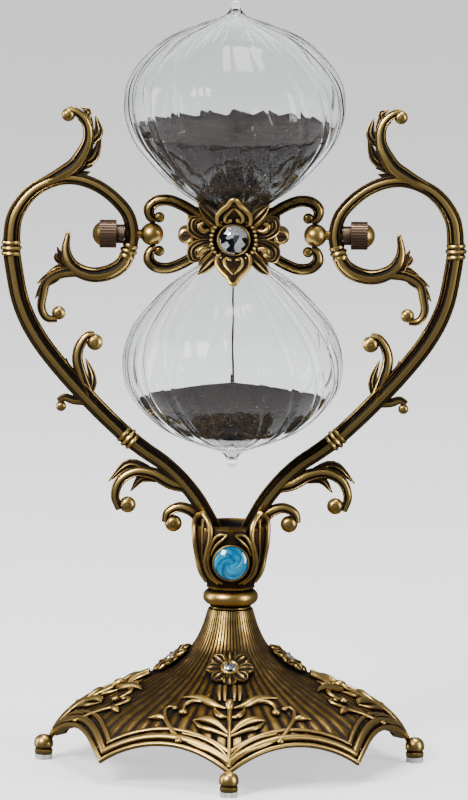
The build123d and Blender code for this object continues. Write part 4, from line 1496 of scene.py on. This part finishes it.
    def build_lower_sand(self) -> bpy.types.Object:
        """Models the heap in the lower bulb, modelled upside down in the upper one and turned over."""
        sand = self.skin("lower_sand_heaped", self.sand_inset, self.heap_edge, self.toe)
        bpy.ops.mesh.fill()
        bpy.ops.mesh.select_mode(type="EDGE")
        bpy.ops.mesh.select_all(action="DESELECT")
        mesh = bmesh.from_edit_mesh(sand.data)
        for edge in mesh.edges:
            edge.select_set(all(abs(v.co.z - self.heap_edge * MM) < 1e-5 for v in edge.verts))
        bmesh.update_edit_mesh(sand.data)
        rise = self.heap_edge - self.heap_peak
        for share, grow in ((0.15, 0.88), (0.2, 0.8), (0.25, 0.68), (0.2, 0.5), (0.14, 0.35), (0.06, 0.2)):
            bpy.ops.mesh.extrude_region_move(TRANSFORM_OT_translate={"value": (0, 0, -rise * share * MM)})
            bpy.ops.transform.resize(value=(grow, grow, 1), center_override=(0, 0, 0))
        bpy.ops.mesh.fill()
        close_edit()
        settle(sand, 180)
        place = Matrix.Translation((0, 0, PIVOT_Z * MM)) @ Matrix.Rotation(math.pi, 4, "X")
        return aim(sand, place)

    def close_start(self, sand: bpy.types.Object, height: float) -> None:
        """Closes the lower end of a skin at a height.

        Args:
            sand: the skin, in edit mode.
            height: of its open end above the pivot.
        """
        bpy.ops.mesh.select_mode(type="EDGE")
        bpy.ops.mesh.select_all(action="DESELECT")
        mesh = bmesh.from_edit_mesh(sand.data)
        for edge in mesh.edges:
            edge.select_set(edge.is_boundary and all(abs(v.co.z - height * MM) < 1e-4 for v in edge.verts))
        bmesh.update_edit_mesh(sand.data)
        bpy.ops.mesh.fill()
        close_edit()

    def build_stream(self) -> bpy.types.Object:
        """Models the thin, uneven stream of falling sand."""
        line = [(0.12 * math.sin(i * 2.3), 0.12 * math.cos(i * 1.7),
                 PIVOT_Z + self.throat - i * 5.85) for i in range(11)]
        radii = [0.9, 0.4, 0.3, 0.38, 0.26, 0.34, 0.24, 0.36, 0.3, 0.42, 0.5]
        return strand("sand_stream_falling", line, radii, smoothness=4)

    def dress(self, rack: FinishRack) -> None:
        """Builds and finishes the glass and the sand."""
        dress(self.build_glass(), rack.glass, "clear_glass", "hourglass", "glass")
        dress(self.build_upper_sand(), rack.sand, "black_sand", "hourglass", "upper_sand")
        dress(self.build_lower_sand(), rack.sand, "black_sand", "hourglass", "lower_sand")
        dress(self.build_stream(), rack.sand, "black_sand", "hourglass", "sand_stream")


@dataclass
class Bracket:
    """Clamp round the glass neck: saddle, bars, bosses and four scrolls on each face."""

    scroll_line: tuple[Point2, ...] = ((7.2, 1.6), (10.5, 5.0), (13.9, 7.7), (17.8, 10.1), (22.6, 11.9),
                                       (27.0, 11.5),
                                       (29.5, 9.0), (29.0, 6.0), (27.0, 4.7))
    ball_x: float = 28.5
    boss_x: float = 16.6

    def build(self) -> bpy.types.Object:
        """Models the front half of the bracket."""
        one = [sweep("bracket_scroll", self.scroll_line, [1.7, 2.0, 2.0, 2.0, 1.4], Section.REEDED,
                     hand=-1),
               button("bracket_eye", 26.0, 5.9, 1.9)]
        quarter = join("bracket_quarter", one)
        flip = Matrix.Scale(-1, 4, (0, 1, 0))
        halves = [quarter, copy_of(quarter, "quarter_low", flip)]
        halves.append(blacken(sweep("bracket_bar", [(7.0, 0), (11.0, 0), (16.6, 0)], [1.9, 1.9, 1.9],
                                    Section.REEDED, 1.5), 0.6))
        boss = lathe("bracket_boss",
                     [(0.0, 0.0), (2.7, 0.0), (2.8, 4.4), (2.5, 5.2), (1.9, 5.5), (1.6, 5.3),
                                      (1.5, 4.6), (0.0, 4.5)], 32)
        boss.data.transform(Matrix.Translation((self.boss_x * MM, 0, 0)))
        side = join("bracket_side", [*halves, boss])
        scrolls = aim(join("bracket_scrolls", [side, copy_of(side, "bracket_other_side", MIRROR)]),
                      to_front(0, 0, PIVOT_Z))
        saddle = lathe("bracket_saddle",
                       [(6.05, -3.2), (7.6, -3.2), (8.3, -2.6), (8.5, -1.4), (8.1, -0.9), (8.1, 0.9),
                                          (8.5, 1.4), (8.3, 2.6), (7.6, 3.2), (6.05, 3.2), (6.05, -3.2)],
                                          56)
        saddle.data.transform(Matrix.Translation((0, 0, PIVOT_Z * MM)))
        edit(saddle)
        bpy.ops.mesh.bisect(plane_co=(0, -0.00003, 0), plane_no=(0, 1, 0), clear_outer=True, use_fill=True)
        close_edit()
        return join("front_clamp_cast", [settle(saddle, 38), scrolls])

    def dress(self, rack: FinishRack) -> None:
        """Builds the front half, turns a copy to the back, and finishes both."""
        front = self.build()
        back = copy_of(front, "back_clamp_cast", BACK)
        dress(front, rack.bronze, "antique_bronze", "hourglass", "front_bracket")
        dress(back, rack.bronze, "antique_bronze", "hourglass", "back_bracket")


@dataclass
class Medallion:
    """Round beaded setting with two hearts, four spikes and side shells, and its crystal."""

    face: float = 16.2
    beads: int = 32
    bead_circle: float = 7.75
    heart_lean: float = 38.0
    heart: tuple[Point2, ...] = ((0, 1.2), (2.4, 0.2), (5.0, 1.4), (5.8, 4.4), (4.6, 7.6), (2.2, 10.4),
                                 (0, 13.4),
                                 (-2.2, 10.4), (-4.6, 7.6), (-5.8, 4.4), (-5.0, 1.4), (-2.4, 0.2))

    def build_heart(self, low: bool) -> bpy.types.Object:
        """Models one heart: a raised rim with two inward curls over a sunk field.

        Args:
            low: whether it is the heart that points down.

        Returns:
            The heart, in place.
        """
        rim = strand("heart_rim", [(x, y, 0.3) for x, y in self.heart], [0.8, 0.8], closed=True)
        parts = [rim, blacken(plate("heart_field", self.heart, 0.9), 0.95)]
        for side in (1, -1):
            curl = [(side * x, y, 0.5) for x,
                    y in ((0.2, 9.4), (1.9, 7.4), (3.1, 5.0), (2.6, 3.0), (1.3, 3.1))]
            parts.append(strand("heart_curl", curl, [0.3, 0.6, 0.7, 0.65, 0.6]))
            parts.append(aim(button("heart_eye", 0, 0, 0.9),
                             Matrix.Translation((side * 1.4 * MM, 3.6 * MM, 0.6 * MM))))
        place = (Matrix.Translation((0, -14.3 * MM,
                                     4.4 * MM)) @ Matrix.Rotation(math.radians(self.heart_lean), 4, "X")
                 @ stand_up())
        if low:
            place = Matrix.Rotation(math.pi, 4, "Y") @ place
        return aim(join("heart", parts), Matrix.Translation((0, 0, PIVOT_Z * MM)) @ place)

    def build(self) -> bpy.types.Object:
        """Models the front medallion."""
        dish = lathe("medallion_dish",
                     [(0.0, -6.0), (3.6, -6.0), (3.6, -2.4), (7.9, -2.4), (8.35, -1.8), (8.3, -0.7),
                                        (7.2, -0.5), (6.9, -0.9), (6.2, -1.5), (5.7, -1.0), (5.6, 0.2),
                                        (5.3, 0.35),
                                        (5.1, 0.1), (5.1, -1.2), (0.0, -1.2)], 72)
        parts = [blacken(dish, 0.7)]
        ring = [(5.15, -0.6), (5.7, -0.6), (5.75, 0.2), (5.45, 0.5), (5.15, 0.2), (5.15, -0.6)]
        parts.append(lathe("crystal_bezel", ring, 56))
        deselect_all()
        bpy.ops.mesh.primitive_uv_sphere_add(segments=12, ring_count=8, radius=0.76 * MM,
                                             location=(self.bead_circle * MM, 0, -0.35 * MM))
        bead = named_active("bead")
        apply_place(bead)
        edit(bead)
        bpy.ops.transform.resize(value=(0.94, 0.94, 1.08), center_override=(self.bead_circle * MM, 0, 0))
        close_edit()
        settle(bead, 180)
        parts.append(bead)
        parts += [copy_of(bead, f"bead_{i}", Matrix.Rotation(i * TURN / self.beads, 4, "Z"))
                  for i in range(1, self.beads)]
        spike = sweep("spike", [(7.4, 0), (12.0, 0), (17.6, 0)], [1.1, 1.9, 2.2, 1.7, 0.1], Section.LEAF,
                      0.5, per=6,
                      sides=20)
        spike.data.transform(Matrix.Translation((0, 0, -1.6 * MM)))
        shell = sweep("shell", [(8.2, 0.8), (11.4, 1.2), (14.4, 3.4), (14.2, 6.6), (11.6, 7.4)],
                      [0.7, 1.4, 1.7, 1.5, 0.5], Section.LEAF, 0.6, per=5, sides=20)
        shell.data.transform(Matrix.Translation((0, 0, -1.6 * MM)))
        curl = strand("shell_curl",
                      [(8.4, 3.2, -1.2), (10.6, 3.0, -0.9), (12.0, 4.6, -0.9), (10.6, 5.8, -1.0)],
                      [0.5, 0.8, 0.8, 0.6])
        side = join("side_leaves", [shell, curl])
        flip = Matrix.Scale(-1, 4, (0, 1, 0))
        pair = join("side_pair", [side, copy_of(side, "side_low", flip)])
        parts += [pair, copy_of(pair, "side_other", MIRROR)]
        for turn in (45, 135, 225, 315):
            parts.append(copy_of(spike, f"spike_{turn}", Matrix.Rotation(math.radians(turn), 4, "Z")))
        bpy.data.objects.remove(spike)
        flat = aim(join("medallion_flat", parts), to_front(0, -self.face, PIVOT_Z))
        return join("front_medallion_cast", [flat, self.build_heart(False), self.build_heart(True)])

    def build_crystal(self) -> bpy.types.Object:
        """Models the front crystal."""
        return aim(cut_stone("front_crystal_cut", 5.15, 0.9, 1.5), to_front(0, -self.face + 1.0, PIVOT_Z))

    def dress(self, rack: FinishRack) -> None:
        """Builds the front setting, turns a copy to the back, and finishes both."""
        for front, finish, slot_name, node in ((self.build(), rack.bronze, "antique_bronze", "medallion"),
                                               (self.build_crystal(), rack.crystal, "crystal", "crystal")):
            back = copy_of(front, front.name.replace("front", "back"), BACK)
            dress(front, finish, slot_name, "hourglass", f"front_{node}")
            dress(back, finish, slot_name, "hourglass", f"back_{node}")


@dataclass
class CarriedNodes:
    """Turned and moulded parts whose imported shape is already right: they only get their finish."""

    frame: dict

    def dress(self, rack: FinishRack) -> None:
        """Gives each carried part its material.

        Args:
            rack: the finishes.
        """
        finishes = {
            "foot_pads": rack.rubber, "neck_cushion": rack.rubber, "tie_bolt": rack.steel,
            "tie_washer": rack.steel,
            "clamp_screws": rack.dark_bronze, "front_cabochon": rack.cabochon,
            "back_cabochon": rack.cabochon,
        }
        for side in Side:
            finishes[f"{side.value}_pivot_screw"] = rack.bronze
            finishes[f"{side.value}_pivot_ball"] = rack.bronze
            finishes[f"{side.value}_thumb_knob"] = rack.dark_bronze
        for name, material in finishes.items():
            part = self.frame["nodes"][name]
            for index in range(len(part.material_slots)):
                part.material_slots[index].material = material
            LOG.info("%s: carried over as %s", name, material.name)


@dataclass
class Studio:
    """Camera, pale floor and backdrop, and soft lights."""

    target: Point3 = (0.6, 0.0, 128.2)
    distance: float = 2340.0
    elevation: float = 8.0
    roll: float = 0.5
    lens: float = 200.6

    def place_camera(self) -> None:
        """Sets the camera at a low three-quarter height in front."""
        data = bpy.data.cameras.new("studio_camera")
        camera = bpy.data.objects.new("studio_camera", data)
        bpy.context.scene.collection.objects.link(camera)
        rise = math.radians(self.elevation)
        back = Vector((0, -math.cos(rise), math.sin(rise)))
        aim_turn = (-back).to_track_quat("-Z", "Y").to_matrix().to_4x4()
        camera.matrix_world = (Matrix.Translation((Vector(self.target) + back * self.distance) * MM) @ aim_turn
                               @ Matrix.Rotation(math.radians(self.roll), 4, "Z"))
        data.sensor_fit = "VERTICAL"
        data.sensor_height = 24
        data.lens = self.lens
        data.clip_end = 40
        data.dof.use_dof = False
        bpy.context.scene.camera = camera

    def place_stage(self) -> None:
        """Lays the floor and raises a round wall beyond the camera, both kept out of the reflections."""
        material, _, shader = new_material("painted_board_matt")
        shader.inputs["Base Color"].default_value = linear("F6F6F5")
        shader.inputs["Roughness"].default_value = 0.9
        deselect_all()
        bpy.ops.mesh.primitive_plane_add(size=16.0, location=(0, 0, 0))
        floor = named_active("stage_floor")
        apply_place(floor)
        deselect_all()
        bpy.ops.mesh.primitive_cylinder_add(vertices=96, radius=7.9, depth=8.0, end_fill_type="NOTHING",
                                            location=(0, 0, 4.0))
        backdrop = named_active("stage_backdrop")
        apply_place(backdrop)
        shader.inputs["Emission Color"].default_value = linear("FFFFFF")
        shader.inputs["Emission Strength"].default_value = 0.9
        for sheet in (floor, backdrop):
            sheet.data.materials.append(material)
        floor.visible_glossy = False
        backdrop.visible_glossy = False
        backdrop.visible_diffuse = False

    def light(self, name: str, place: Point3, size: Point2, power: float) -> None:
        """Adds a softbox that faces the object.

        Args:
            name: the light's name.
            place: in metres.
            size: width and height in metres.
            power: in watts.
        """
        data = bpy.data.lights.new(name, "AREA")
        data.shape = "RECTANGLE"
        data.size, data.size_y = size
        data.energy = power
        lamp = bpy.data.objects.new(name, data)
        bpy.context.scene.collection.objects.link(lamp)
        turn = (Vector((0, 0, 0.13)) - Vector(place)).to_track_quat("-Z", "Y").to_matrix().to_4x4()
        lamp.matrix_world = Matrix.Translation(place) @ turn
        lamp.visible_camera = False

    def build(self) -> None:
        """Sets up the whole studio."""
        self.place_camera()
        self.place_stage()
        self.light("key_softbox", (-0.75, -0.9, 0.95), (0.45, 0.5), 26)
        self.light("fill_softbox", (1.1, -0.55, 0.35), (0.2, 0.9), 9)
        self.light("top_softbox", (0.1, 0.0, 1.4), (0.7, 0.5), 18)
        self.light("left_strip", (-1.1, 0.1, 0.3), (0.15, 0.9), 6)
        world = bpy.data.worlds.new("studio_air")
        world.use_nodes = True
        world.node_tree.nodes["Background"].inputs["Color"].default_value = linear("B8BCC4")
        world.node_tree.nodes["Background"].inputs["Strength"].default_value = 0.2
        bpy.context.scene.world = world


def main() -> None:
    """Builds the hourglass piece by piece, in the order that it goes together."""
    logging.basicConfig(level=logging.INFO, format="%(name)s %(message)s")
    rack = FinishRack()
    skirt = BaseSkirt()
    skirt.dress(rack)
    RidgeRelief(skirt).dress(rack)
    Column().dress(rack)
    ArmCasting().dress(rack)
    GlassBulbs().dress(rack)
    Bracket().dress(rack)
    Medallion().dress(rack)
    CarriedNodes(frame).dress(rack)
    Studio().build()


if __name__ == "__main__":
    main()
